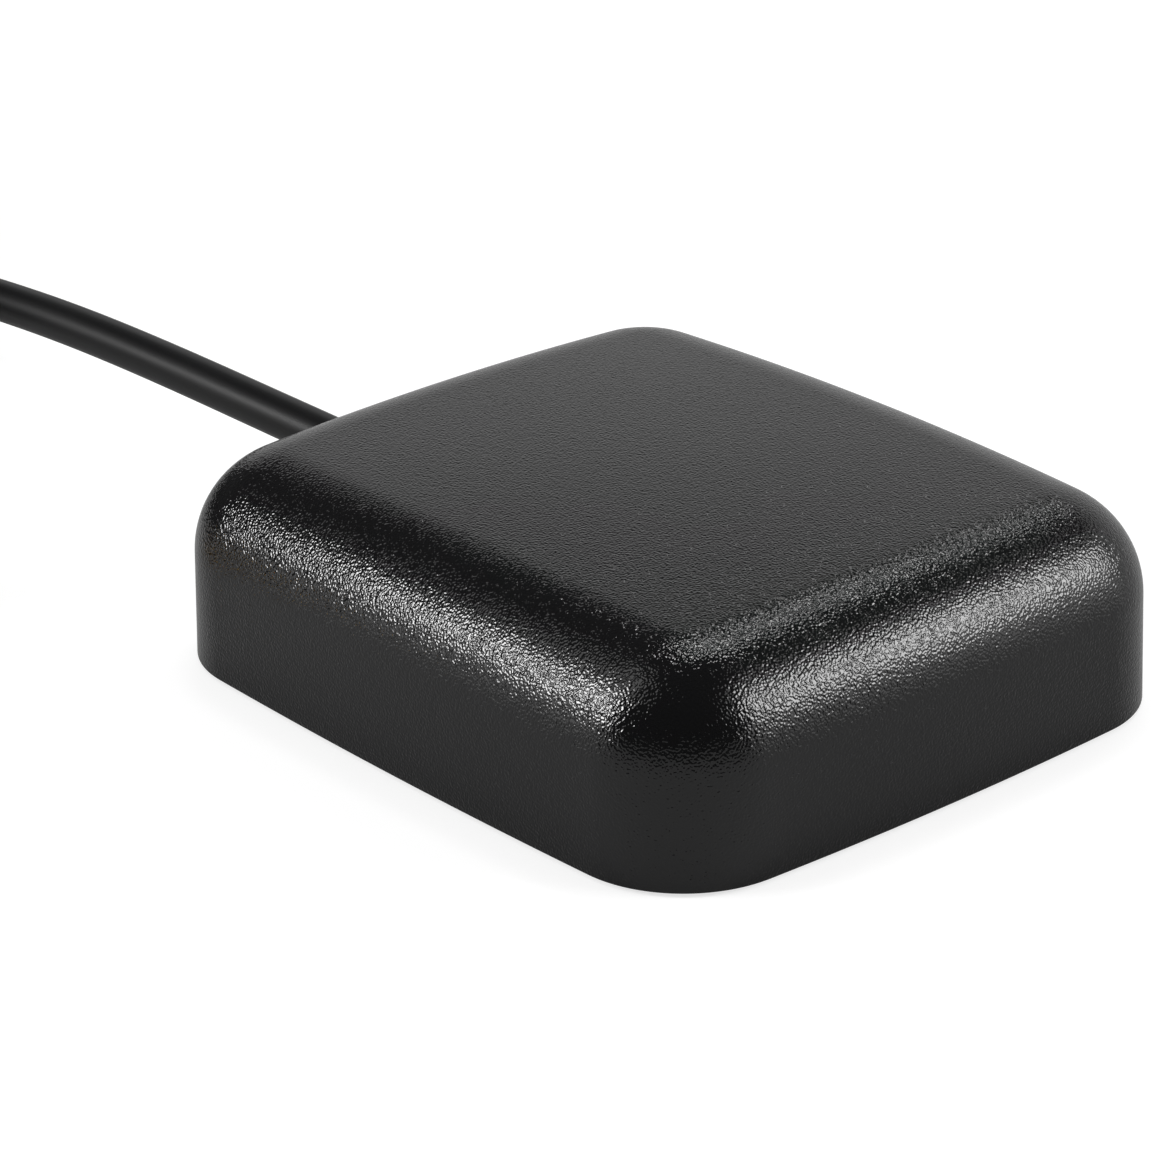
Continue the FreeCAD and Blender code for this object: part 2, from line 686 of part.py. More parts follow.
def solder_joints():
    """Soft solder under the board: round the feed pin, beside the braid and over the core's end."""
    feed = turned_body("feed_solder", [
        ("feed_diameter / 2", "0"), ("feed_diameter", "0"),
        ("feed_diameter / 2 + seat_gap", "feed_tail - seat_gap"), ("feed_diameter / 2", "feed_tail - seat_gap")])
    put(feed, "0", "-feed_offset", "%s - seat_gap" % BOARD_BOTTOM, (V(1, 0, 0), 180))
    joints = [feed]
    for side in ("-", ""):
        wedge = new_body("braid_solder_%d" % len(joints))
        section = new_sketch(wedge, "wedge_%d" % len(joints), "XZ_Plane",
                             level="-(%s + braid_length - braid_solder_margin)" % BRAID_END)
        near = "%s(braid_diameter / 2 - braid_solder_setback)" % side
        far = "%s(braid_diameter / 2 - braid_solder_setback + braid_solder_width)" % side
        top = "(%s - seat_gap)" % BOARD_BOTTOM
        draw_outline(section, [(near, top + " - braid_solder_height"), (near, top), (far, top)])
        pad(wedge, section, "braid_length - 2 * braid_solder_margin")
        joints.append(wedge)
    return boolean("Part::Compound", "solder_joints", joints)


# Lead
def grommet():
    """The rubber grommet in the housing's wall: an inner flange, a neck and a tapered outer sleeve."""
    bore = "(lead_diameter / 2 + grommet_bore_clearance)"
    neck = "(grommet_hole_diameter / 2 - grommet_clearance)"
    flange = "grommet_flange_diameter / 2"
    inner = "(body_length / 2 - wall_thickness - grommet_setback)"
    outer = "(body_length / 2 + grommet_clearance)"
    tip = "grommet_tip_diameter / 2"
    piece = turned_body("grommet", [
        (bore, "%s - grommet_flange_thickness" % inner),
        (flange, "%s - grommet_flange_thickness" % inner),
        (flange, inner), (neck, inner), (neck, outer), (flange, outer),
        (flange, "%s + grommet_flange_thickness" % outer),
        (tip, "%s + grommet_length" % outer),
        (bore, "%s + grommet_length" % outer)])
    return put(piece, "0", "0", "lead_height", (V(1, 0, 0), -90))


def stripped_end(name, diameter, bore, start, end):
    """One stripped layer of the lead, a ring along +Y from start to end."""
    piece = turned_body(name, [
        ("(%s) / 2" % bore, start), ("(%s) / 2" % diameter, start),
        ("(%s) / 2" % diameter, end), ("(%s) / 2" % bore, end)])
    return put(piece, "0", "0", "lead_height", (V(1, 0, 0), -90))


def round_route(points, share=0.45):
    """Straight runs joined by tangent arcs, each taking a share of its shorter run. Prints the radii."""
    edges = []
    here = points[0]
    radii = []
    for before, corner, after in zip(points, points[1:], points[2:]):
        run_in = corner - before
        run_out = after - corner
        turn = run_in.getAngle(run_out)
        reach = share * min(run_in.Length, run_out.Length)
        radii.append(reach / math.tan(turn / 2))
        start = corner - V(run_in).normalize() * reach
        end = corner + V(run_out).normalize() * reach
        bisector = (V(run_out).normalize() - V(run_in).normalize()).normalize()
        middle = corner + bisector * (radii[-1] / math.cos(turn / 2) - radii[-1])
        edges.append(Part.LineSegment(here, start).toShape())
        edges.append(Part.Arc(start, middle, end).toShape())
        here = end
    edges.append(Part.LineSegment(here, points[-1]).toShape())
    print("radii", [round(radius, 1) for radius in radii])
    return Part.Wire(edges)


def lead_tube(name, points, diameter, tolerance=0.01):
    """A plain tube along a route of points chosen by hand. Its volume shows that it is whole."""
    path = round_route([V(*point) for point in points])
    start = path.Edges[0]
    ring = Part.Wire(Part.makeCircle(diameter / 2, start.valueAt(start.FirstParameter),
                                     start.tangentAt(start.FirstParameter)))
    tube = path.makePipeShell([ring], True, False)
    expected = math.pi * diameter ** 2 / 4 * path.Length
    print(name, "length", round(path.Length, 2), "volume", round(tube.Volume / expected, 5), "of expected")
    assert abs(tube.Volume / expected - 1) < tolerance, name
    piece = document.addObject("Part::Feature", name)
    piece.Label = name
    piece.Shape = tube
    return piece


def cable_core():
    """The core steps up from the lead's axis to the board's underside, where it is soldered."""
    axis = value("lead_height")
    under = value("%s - core_diameter / 2 - seat_gap" % BOARD_BOTTOM)
    start = value(BRAID_END)
    bare = value(DIELECTRIC_END)
    step = under - axis
    route = [(0, start, axis), (0, bare - step, axis), (0, bare - 2 * step, under), (0, bare - 4 * step, under)]
    return lead_tube("cable_core", route, value("core_diameter"))


def cable_run():
    """From the board to the coil: straight out of the housing, then down to the surface it lies on."""
    exit_level = value("lead_height")
    rest_level = value("lead_diameter / 2")
    route = [
        (0.0, value(JACKET_END), exit_level),
        (0.0, 34.0, exit_level),
        (0.02, 49.0, exit_level - 0.02),
        (0.0, 60.0, exit_level - 0.35),
        (0.1, 71.0, exit_level - 1.3),
        (4.6, 78.6, rest_level + 0.9),
        (13.0, 84.5, rest_level + 0.02),
        (18.6, 96.0, rest_level),
        (18.6, 105.0, rest_level + 0.02),
    ]
    return lead_tube("cable_run", route, value("lead_diameter"))


def cable_tail():
    """From the coil's top turn down to the plug, which lies beside the coil."""
    top_turn = value("tie_thickness + %s - lead_diameter / 2" % COIL_HEIGHT)
    axis = value(PLUG_HEIGHT)
    plug = value("plug_x")
    entry = value("plug_y + %s - cut_allowance" % FERRULE_END)
    route = [
        (plug - 3.3, entry + 34.5, top_turn - 0.25),
        (plug - 0.8, entry + 24.0, axis + 3.2),
        (plug, entry + 14.0, axis),
        (plug, entry, axis),
    ]
    return lead_tube("cable_tail", route, value("lead_diameter"))


def cable_coil():
    """The outer shape of the neat coil that stores the rest of the lead."""
    piece = new_body("cable_coil")
    section = new_sketch(piece, "coil_section", "XZ_Plane", depth="tie_thickness")
    cut = "coil_corner_cut"
    draw_outline(section, [
        ("%s + %s" % (COIL_IN, cut), "0"), ("%s - %s" % (COIL_OUT, cut), "0"),
        (COIL_OUT, cut), (COIL_OUT, "%s - %s" % (COIL_HEIGHT, cut)),
        ("%s - %s" % (COIL_OUT, cut), COIL_HEIGHT), ("%s + %s" % (COIL_IN, cut), COIL_HEIGHT),
        (COIL_IN, "%s - %s" % (COIL_HEIGHT, cut)), (COIL_IN, cut)])
    revolve(piece, section)
    return put(piece, "coil_middle_x", "coil_middle_y", "0")


def coil_tie():
    """A flat tie bent round the coil's bundle of turns."""
    piece = new_body("coil_tie")
    section = new_sketch(piece, "tie_section", "XZ_Plane")
    middle = "(%s + %s / 2)" % (COIL_IN, COIL_WIDTH)
    inside = "tie_clearance"
    draw_rectangle(section, "%s + 2 * (%s + tie_thickness)" % (COIL_WIDTH, inside),
                   "%s + %s + 2 * tie_thickness" % (COIL_HEIGHT, inside),
                   middle, "(%s + %s) / 2 + tie_thickness" % (COIL_HEIGHT, inside))
    draw_rectangle(section, "%s + 2 * %s" % (COIL_WIDTH, inside), "%s + %s" % (COIL_HEIGHT, inside),
                   middle, "(%s + %s) / 2 + tie_thickness" % (COIL_HEIGHT, inside))
    band = pad(piece, section, "tie_width")
    band.Midplane = True
    return put(piece, "coil_middle_x", "coil_middle_y", "0", (V(0, 0, 1), value("tie_angle")))


# Plug
def on_plug(piece):
    """Plug pieces are turned with their mating face at zero and lie with that face towards -Y."""
    return put(piece, "plug_x", "plug_y", PLUG_HEIGHT, (V(1, 0, 0), 90))


def connector_body():
    """Thin front shell, collar with the ring's groove, neck and the stem that the braid is crimped on."""
    shell = "shell_diameter / 2"
    collar = "collar_diameter / 2"
    collar_front = "-(%s)" % COLLAR_FRONT
    groove = "ring_groove_diameter / 2"
    groove_front = "-(ring_middle - ring_thickness / 2 - ring_clearance)"
    groove_back = "-(ring_middle + ring_thickness / 2 + ring_clearance)"
    piece = turned_body("connector_body", [
        ("shell_bore_diameter / 2", "0"),
        (shell, "0"), (shell, collar_front), (collar, collar_front), (collar, groove_front),
        (groove, groove_front), (groove, groove_back), (collar, groove_back), (collar, "-shell_length"),
        ("neck_diameter / 2", "-shell_length"), ("neck_diameter / 2", "-(%s)" % NECK_END),
        ("stem_diameter / 2", "-(%s)" % NECK_END), ("stem_diameter / 2", "-(%s)" % STEM_END),
        ("stem_bore_diameter / 2", "-(%s)" % STEM_END),
        ("stem_bore_diameter / 2", "-(%s)" % NECK_END),
        ("stem_bore_diameter / 2", "-shell_length"),
        ("shell_bore_diameter / 2", "-shell_length")])
    return on_plug(piece)


def retaining_ring():
    """A split ring, half in the body's groove and half in the groove inside the nut."""
    front = "-(ring_middle - ring_thickness / 2)"
    back = "-(ring_middle + ring_thickness / 2)"
    inner = "(ring_groove_diameter / 2 + seat_gap)"
    piece = turned_body("retaining_ring", [
        (inner, front), ("ring_outer_diameter / 2", front), ("ring_outer_diameter / 2", back), (inner, back)])
    split = new_sketch(piece, "ring_split", "XY_Plane")
    reach = "ring_outer_diameter"
    draw_outline(split, [("0", "0"), (reach, "-(%s) * tan(ring_gap_angle / 2)" % reach),
                         (reach, "(%s) * tan(ring_gap_angle / 2)" % reach)])
    pocket(piece, split, "ring_middle + ring_thickness")
    return on_plug(piece)


def connector_gasket():
    front = "-seal_front"
    back = "-(seal_front + seal_thickness)"
    inner = "(shell_diameter / 2 + seat_gap)"
    outer = "(thread_minor_diameter / 2 - nut_clearance)"
    return on_plug(turned_body("connector_gasket", [
        (inner, front), (outer, front), (outer, back), (inner, back)]))


def connector_insulator():
    outer = "(shell_bore_diameter / 2 - insulator_clearance)"
    bore = "(pin_diameter / 2 + insulator_clearance)"
    back = "-(shell_length - insulator_clearance)"
    return on_plug(turned_body("connector_insulator", [
        (bore, "0"), (outer, "0"), (outer, back), (bore, back)]))


def centre_pin():
    """Gilt pin with a slimmer, tapered tip that reaches past the mating face."""
    thick = "pin_diameter / 2"
    slim = "pin_tip_diameter / 2"
    back = "-(shell_length + pin_tail)"
    return on_plug(turned_body("centre_pin", [
        ("0", back), (thick, back), (thick, "0"), (slim, "0"), (slim, "pin_reach - pin_taper"),
        ("pin_point_diameter / 2", "pin_reach"), ("0", "pin_reach")]))


def crimp_ferrule():
    outer = "%s / 2" % FERRULE_DIAMETER
    bore = "(lead_diameter / 2 + insulator_clearance)"
    front = "-(%s + insulator_clearance)" % NECK_END
    return on_plug(turned_body("crimp_ferrule", [
        (bore, front), (outer, front), (outer, "-(%s)" % FERRULE_END), (bore, "-(%s)" % FERRULE_END)]))


def heat_shrink_sleeve():
    """Shrunk over the ferrule's end, then narrowing onto the lead."""
    wide = "(%s / 2 + insulator_clearance)" % FERRULE_DIAMETER
    slim = "(lead_diameter / 2 + insulator_clearance)"
    front = "-(%s - sleeve_overlap)" % FERRULE_END
    step = "-(%s + insulator_clearance)" % FERRULE_END
    back = "-(%s - sleeve_overlap + sleeve_length)" % FERRULE_END
    return on_plug(turned_body("heat_shrink_sleeve", [
        (wide, front), ("%s + sleeve_wall" % wide, front), ("%s + sleeve_wall" % wide, step),
        ("%s + sleeve_wall" % slim, "%s - 2 * sleeve_wall" % step), ("%s + sleeve_wall" % slim, back),
        (slim, back), (slim, step), (wide, step)]))


def coupling_nut():
    """Hexagon nut, chamfered at both ends, that turns on the body's collar and is held by the ring."""
    piece = new_body("coupling_nut")
    plan = new_sketch(piece, "nut_hexagon", level="-(%s)" % NUT_BACK)
    corner = "nut_across_flats / sqrt(3)"
    draw_outline(plan, [
        (corner, "0"), ("%s / 2" % corner, "nut_across_flats / 2"),
        ("-%s / 2" % corner, "nut_across_flats / 2"), ("-%s" % corner, "0"),
        ("-%s / 2" % corner, "-nut_across_flats / 2"), ("%s / 2" % corner, "-nut_across_flats / 2")])
    pad(piece, plan, "nut_length")

    bore = "(collar_diameter / 2 + nut_clearance)"
    thread = "(thread_minor_diameter / 2)"
    before = "nut_front + cut_allowance"
    behind = "-(%s + cut_allowance)" % NUT_BACK
    shoulder = "(nut_front - thread_depth)"
    groove = "(ring_outer_diameter / 2 + nut_clearance)"
    groove_front = "-(ring_middle - ring_thickness / 2 - ring_clearance)"
    groove_back = "-(ring_middle + ring_thickness / 2 + ring_clearance)"
    inside = new_sketch(piece, "nut_inside", "XZ_Plane")
    draw_outline(inside, [
        ("0", before), ("%s + nut_chamfer + cut_allowance" % thread, before),
        (thread, "nut_front - nut_chamfer"), (thread, shoulder), (bore, shoulder),
        (bore, groove_front), (groove, groove_front), (groove, groove_back), (bore, groove_back),
        (bore, behind), ("0", behind)])
    revolve(piece, inside, "PartDesign::Groove")

    for end, face, way in (("front", "nut_front", ""), ("back", "-(%s)" % NUT_BACK, "-")):
        chamfer = new_sketch(piece, "nut_chamfer_" + end, "XZ_Plane")
        rim = "nut_across_flats / 2 - nut_face_inset"
        reach = "nut_across_flats"
        slope = "(nut_across_flats / 2 + nut_face_inset) * tan(nut_chamfer_angle)"
        draw_outline(chamfer, [
            (rim, face), (reach, "%s - %s(%s)" % (face, way, slope)), (reach, face)])
        revolve(piece, chamfer, "PartDesign::Groove")
    return on_plug(piece)


def build():
    pieces = [
        housing_cover(), base_cover(), rim_gasket(), base_screws(), base_magnet(),
        circuit_board(), patch_tape(), ceramic_patch(), feed_pin(), shield_can(),
        under_board("amplifier_chip", "chip_side", "chip_side", "chip_height", "-chip_middle", CAN_MIDDLE),
        under_board("saw_filter", "filter_side", "filter_side", "filter_height", "chip_middle", CAN_MIDDLE),
        chip_components(), solder_joints(), grommet(),
        stripped_end("cable_braid", "braid_diameter", "dielectric_diameter", BRAID_END,
                     "%s - seat_gap" % JACKET_END),
        stripped_end("cable_dielectric", "dielectric_diameter", "core_diameter", DIELECTRIC_END,
                     "%s - seat_gap" % JACKET_END),
        cable_core(), cable_run(), cable_coil(), cable_tail(), coil_tie(),
        heat_shrink_sleeve(), crimp_ferrule(), connector_body(), retaining_ring(),
        connector_gasket(), connector_insulator(), centre_pin(), coupling_nut(),
    ]
    document.recompute()
    for item in document.Objects:
        faults = [state for state in item.State if state in ("Invalid", "Error")]
        assert not faults, (item.Name, faults)
    for piece in pieces:
        assert not piece.Shape.isNull() and piece.Shape.isValid(), piece.Name
        assert piece.Shape.Solids, piece.Name
    os.makedirs("parts", exist_ok=True)
    for piece in pieces:
        piece.Shape.exportStep(os.path.join("parts", piece.Label + ".step"))
        box = piece.Shape.BoundBox
        print("%-20s solids %d volume %9.2f  x %.2f %.2f  y %.2f %.2f  z %.2f %.2f" % (
            piece.Label, len(piece.Shape.Solids), piece.Shape.Volume,
            box.XMin, box.XMax, box.YMin, box.YMax, box.ZMin, box.ZMax))


build()
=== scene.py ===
"""A GPS antenna dressed for its portrait: a grained black puck, its thin lead and a gilt screw-on plug.

Metres, in the CAD model's own frame: the origin is the middle of the puck's underside, +Z is up and
the lead leaves along +Y.
"""
import bmesh
import bpy
import math
from mathutils import Matrix, Vector


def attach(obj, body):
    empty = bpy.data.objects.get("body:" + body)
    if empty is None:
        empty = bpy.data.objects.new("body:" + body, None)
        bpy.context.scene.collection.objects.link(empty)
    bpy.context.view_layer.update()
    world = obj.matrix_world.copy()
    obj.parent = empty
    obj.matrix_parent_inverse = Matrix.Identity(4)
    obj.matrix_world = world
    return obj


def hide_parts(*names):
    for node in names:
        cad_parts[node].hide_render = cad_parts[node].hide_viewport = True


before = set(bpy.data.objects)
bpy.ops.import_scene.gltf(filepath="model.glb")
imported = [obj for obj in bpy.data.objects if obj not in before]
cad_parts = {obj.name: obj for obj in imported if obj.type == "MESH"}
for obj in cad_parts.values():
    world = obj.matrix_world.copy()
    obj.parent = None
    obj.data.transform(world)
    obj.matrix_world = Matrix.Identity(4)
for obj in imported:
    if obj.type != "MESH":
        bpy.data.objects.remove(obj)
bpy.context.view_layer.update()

MM = 0.001

# Puck housing
BODY_LENGTH = 46.6 * MM
BODY_WIDTH = 40.2 * MM
BODY_HEIGHT = 13.2 * MM
CORNER_RADIUS = 7.1 * MM
EDGE_RADIUS = 6.2 * MM
LONG_SIDE_RADIUS = 425 * MM
SHORT_SIDE_RADIUS = 265 * MM
DOME_RADIUS = 440 * MM
DRAFT = math.radians(1.4)
WALL = 1.4 * MM
RIM_GAP = 0.2 * MM
RIM_LIP = 0.7 * MM
RIM_SOFTENING = 0.12 * MM
GASKET_TOP = 1.8 * MM

# Bosses, hold-down posts and the lead's hole in the housing
SCREW_X, SCREW_Y = 13.9 * MM, 17.0 * MM
BOSS_RADIUS = 2.4 * MM
BOSS_FOOT = 1.43 * MM
BOSS_TOP = 11.6 * MM
PILOT_RADIUS = 1.05 * MM
PILOT_START = 0.43 * MM
PILOT_TOP = 7.9 * MM
POST_X, POST_Y = 14.1 * MM, 6.0 * MM
POST_RADIUS = 1.1 * MM
POST_FOOT = 7.03 * MM
POST_TOP = 12.2 * MM
LEAD_HOLE_RADIUS = 1.95 * MM
LEAD_HOLE_START = 20.9 * MM
LEAD_HOLE_END = 24.3 * MM

# Lead and its stored coil
LEAD_DIAMETER = 2.8 * MM
LEAD_HEIGHT = 5.2 * MM
GROMMET_TIP = 28.95 * MM
COIL_X = -10 * MM
COIL_Y = 104.5 * MM
COIL_START = math.radians(-60)
INNER_TURN = 11.3 * MM
OUTER_TURN = 25.55 * MM
TURN_SPACING = 2.85 * MM
TURNS_ACROSS = 6
POINTS_PER_TURN = 16
WOUND_POINTS = 23 * POINTS_PER_TURN + 11
RAMP_POINTS = 3
TIE_ANGLE = math.radians(115)
TIE_THICKNESS = 0.5 * MM
TIE_LIFT_REACH = math.radians(35)

# Grommet in the far wall
GROMMET_INNER_END = 20.55 * MM
GROMMET_WALL_START = 21.45 * MM
GROMMET_WALL_END = 23.35 * MM
GROMMET_BOOT_START = 24.25 * MM
GROMMET_FLANGE = 2.5 * MM
GROMMET_NECK = 1.9 * MM
LEAD_BORE = 1.43 * MM
FLEX_GROOVES = 4
FLEX_PITCH = 0.9 * MM
FLEX_FIRST = 25.1 * MM
FLEX_DEPTH = 0.35 * MM
FLEX_HALF_WIDTH = 0.2 * MM
FLEX_PROFILE = ((-1.0, 0.0), (-0.75, 0.7), (-0.3, 1.0), (0.3, 1.0), (0.75, 0.7), (1.0, 0.0))
GROMMET_EDGE = 0.1 * MM

# Plug: a line along Y, with its mating face towards -Y
PLUG_X, PLUG_Z = -32.6 * MM, 4.0 * MM
NUT_FRONT, NUT_BACK = 41.1 * MM, 49.0 * MM
NUT_APOTHEM = 4.0 * MM
NUT_FACE_RADIUS = 3.91 * MM
NUT_SLOPE = math.radians(30)
CHAMFER_DEPTH = 0.42 * MM
HEXAGON_SHARPNESS = 160
THREAD_START, THREAD_END = 41.4 * MM, 45.3 * MM
THREAD_ROOT = 3.2 * MM
THREAD_CREST = 2.8 * MM
THREAD_PITCH = 25.4 / 36 * MM
THREAD_TURNS = 5.0
THREAD_SETBACK = 0.1 * MM
THREAD_ROOTING = 0.05 * MM
THREAD_MOUTH = 3.45 * MM
RIDGE_FOOT = 0.44
RIDGE_CREST = 0.07
NUT_BORE = 2.72 * MM
BORE_CHAMFER = 0.12 * MM
RING_GROOVE = 3.05 * MM
RING_GROOVE_START, RING_GROOVE_END = 46.45 * MM, 47.15 * MM
FERRULE_FRONT, FERRULE_BACK = 52.63 * MM, 59.0 * MM
FERRULE_RADIUS = 1.88 * MM
FERRULE_EDGE = 0.06 * MM
CRIMP_START, CRIMP_END = 53.3 * MM, 57.9 * MM
CRIMP_BLEND = 0.4 * MM
CRIMP_APOTHEM = 1.64 * MM
SLEEVE_FRONT, SLEEVE_BACK = 55.0 * MM, 64.5 * MM
SLEEVE_RADIUS = 2.36 * MM
SLEEVE_STEP_END = 59.9 * MM
SLEEVE_SHRUNK_RADIUS = 1.88 * MM
SLEEVE_CRIMP_APOTHEM = 2.14 * MM
SLEEVE_FOLLOWS_CRIMP = 0.8
SLEEVE_BORE = 1.91 * MM
SLEEVE_EDGE = 0.12 * MM

# Twist tie round the coil
TIE_MIDDLE = 18.425 * MM
TIE_HALF_REACH = 8.775 * MM
TIE_HALF_HEIGHT = 5.8 * MM
TIE_LEVEL = 6.3 * MM
TIE_CORNER = 1.5 * MM
TIE_HALF_WIDTH = 2.0 * MM
TIE_WING = 0.26 * MM
TIE_WING_SQUARENESS = 6
TIE_WIRE = 0.42 * MM
TAIL_REACH = 28.45 * MM
TAIL_LEVEL = 9.4 * MM
TAIL_RADIUS = 0.36 * MM
TAIL_WIRE = 0.34 * MM
TAIL_PITCH = 2.1 * MM
TAIL_TURNS = 4.25

# Places that a finish changes at
ELECTRODE_FLOOR = 11.155 * MM
CHIP_COLUMN = 6.8 * MM
CHIP_BODY_REACH = 0.5 * MM

# How finely round forms are drawn
LONG_SIDE_STEPS, SHORT_SIDE_STEPS, CORNER_STEPS = 64, 52, 36
WALL_LEVELS, ROUND_LEVELS, DOME_RINGS = 8, 26, 22
RIM_STEPS = 4
SETTLING_ROUNDS = 20
ROD_SIDES = 48
LEAD_STEPS = 6
LEAD_ROUNDNESS = 5
TURNED_SIDES = 96
TURNED_SPACING = 0.1 * MM
NUT_SIDES = 240
CHAMFER_STEPS = 8
HELIX_STEPS = 64
WIRE_SIDES = 12
TIE_CORNER_STEPS = 8
TIE_SECTION_STEPS = 24

# Edges sharper than this are shaded crisp
CRISP_EDGE = math.radians(35)
CRISP_NUT_EDGE = math.radians(25)
CRISP_GROMMET_EDGE = math.radians(40)

# A wave texture repeats every 2 pi / 20 units at a scale of one
WAVES_PER_METRE = math.pi / 10


# Making things
def keep(name, mesh_or_curve):
    """A new object that holds the given data, in the scene."""
    piece = bpy.data.objects.new(name, mesh_or_curve)
    bpy.context.collection.objects.link(piece)
    return piece


def linear(hex_colour):
    """The linear colour of an sRGB hex value."""
    channels = [int(hex_colour[i:i + 2], 16) / 255 for i in (1, 3, 5)]
    return [c / 12.92 if c <= 0.04045 else ((c + 0.055) / 1.055) ** 2.4 for c in channels] + [1.0]


def add_node(tree, kind, inputs=None, **settings):
    """Add a node with its settings. An input is given a value, or another node's output to link from."""
    node = tree.nodes.new(kind)
    for name, setting in settings.items():
        setattr(node, name, setting)
    for name, given in (inputs or {}).items():
        if isinstance(given, bpy.types.NodeSocket):
            tree.links.new(given, node.inputs[name])
        else:
            node.inputs[name].default_value = given
    return node


# Camera
VIEW_YAW = math.radians(40.571)
VIEW_PITCH = math.radians(24.432)
VIEW_ROLL = math.radians(0.922)
VIEW_PLACE = Vector((-159.37, -179.57, 114.45)) * MM
LENS = 141.38
SENSOR_WIDTH = 36.0
NEAREST, FARTHEST = 0.01, 20.0

camera = keep("camera", bpy.data.cameras.new("camera"))
camera.data.sensor_width = SENSOR_WIDTH
camera.data.lens = LENS
camera.data.clip_start = NEAREST
camera.data.clip_end = FARTHEST
aimed = (Matrix.Rotation(-VIEW_YAW, 4, "Z") @ Matrix.Rotation(math.pi / 2 - VIEW_PITCH, 4, "X")
         @ Matrix.Rotation(-VIEW_ROLL, 4, "Z"))
camera.matrix_world = Matrix.Translation(VIEW_PLACE) @ aimed
bpy.context.scene.camera = camera
bpy.context.scene.view_settings.view_transform = "Standard"


# Lead
def coil_points():
    """The coil's control points. Its layers are wound inwards and outwards by turns, and each turn steps
    over to the next in its last part."""
    # A quadratic curve runs inside its control points, at this share of their distance
    fullness = 0.75 + 0.25 * math.cos(2 * math.pi / POINTS_PER_TURN)
    points = []
    for step in range(WOUND_POINTS + 1):
        turn, place = divmod(step, POINTS_PER_TURN)
        layer, column = divmod(turn, TURNS_ACROSS)
        way = -1 if layer % 2 == 0 else 1
        ramp = max(0, place - POINTS_PER_TURN + RAMP_POINTS) / RAMP_POINTS
        radius = (OUTER_TURN if way < 0 else INNER_TURN) + way * column * TURN_SPACING
        level = LEAD_DIAMETER / 2 + layer * TURN_SPACING
        if column < TURNS_ACROSS - 1:
            radius += way * TURN_SPACING * ramp
        else:
            roll = ramp * math.pi / 2
            radius += way * TURN_SPACING * (math.cos(roll) - (1 - ramp))
            level += TURN_SPACING * math.sin(roll)
        angle = COIL_START + 2 * math.pi * place / POINTS_PER_TURN
        from_tie = math.remainder(angle - TIE_ANGLE, 2 * math.pi) / TIE_LIFT_REACH
        level += TIE_THICKNESS * math.exp(-from_tie ** 2)
        reach = radius / fullness
        points.append((COIL_X + reach * math.cos(angle), COIL_Y + reach * math.sin(angle), level))
    return points


LEAD_RUN = [(0.0, 0.018, 0.0052), (0.0, 0.034, 0.0052), (0.00002, 0.049, 0.00518), (0.0, 0.060, 0.00485),
            (0.0001, 0.071, 0.0039), (0.0006, 0.076, 0.0029)]
LEAD_TAIL = [(-0.0348, 0.092, 0.0099), (-0.0333, 0.082, 0.0070), (-0.0326, 0.072, 0.0040),
             (-0.0326, 0.058, 0.0040)]

lead_curve = bpy.data.curves.new("lead", "CURVE")
lead_curve.dimensions = "3D"
lead_curve.resolution_u = LEAD_STEPS
# The points hold the lead's radius, because the curve's box counts it
lead_curve.bevel_depth = 1.0
lead_curve.bevel_resolution = LEAD_ROUNDNESS
lead_curve.use_fill_caps = True
lead_line = lead_curve.splines.new("NURBS")
lead_route = LEAD_RUN + coil_points() + LEAD_TAIL
lead_line.points.add(len(lead_route) - 1)
for point, place in zip(lead_line.points, lead_route):
    point.co = (*place, 1)
    point.radius = LEAD_DIAMETER / 2
lead_line.order_u = 3
lead_line.use_endpoint_u = True
lead = keep("lead", lead_curve)
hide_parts("cable_run", "cable_coil", "cable_tail")
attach(lead, "antenna")


# Finishes, where a Mix node's two colours are its inputs 6 and 7 and its mixed colour is output 2
PEBBLE = 0.135 * MM
PEBBLE_DEPTH = 0.04 * MM
# The noise's own grid is turned askew, so that no face of the housing lies along it and shows bands
PEBBLE_TURN = (0.62, 0.47, 0.35)
LAND_GAP = 0.06


def new_finish(name, surface):
    """A material with one surface shader. What is the same all over stays on the shader's own sockets."""
    material = bpy.data.materials.new(name)
    material.use_nodes = True
    tree = material.node_tree
    tree.nodes.clear()
    shader = add_node(tree, "ShaderNodeBsdfPrincipled", surface)
    add_node(tree, "ShaderNodeOutputMaterial", {"Surface": shader.outputs["BSDF"]})
    place = add_node(tree, "ShaderNodeTexCoord").outputs["Object"]
    return material, tree, shader, place


def spark_eroded_abs():
    """Black ABS from a spark-eroded mould: shallow pebbles with a nearly polished skin, which break each
    soft highlight into crowded crescent glints and leave the walls almost smooth."""
    material, tree, skin, place = new_finish("spark-eroded black ABS", {
        "Base Color": linear("#0e0e0f"), "Roughness": 0.06, "IOR": 1.54})
    askew = add_node(tree, "ShaderNodeMapping", {"Vector": place, "Rotation": PEBBLE_TURN})
    pebbles = add_node(tree, "ShaderNodeTexNoise", {
        "Vector": askew.outputs[0], "Scale": 1 / PEBBLE, "Detail": 0.0})
    relief = add_node(tree, "ShaderNodeBump", {
        "Height": pebbles.outputs[0], "Strength": 1.0, "Distance": PEBBLE_DEPTH})
    tree.links.new(relief.outputs["Normal"], skin.inputs["Normal"])
    return material


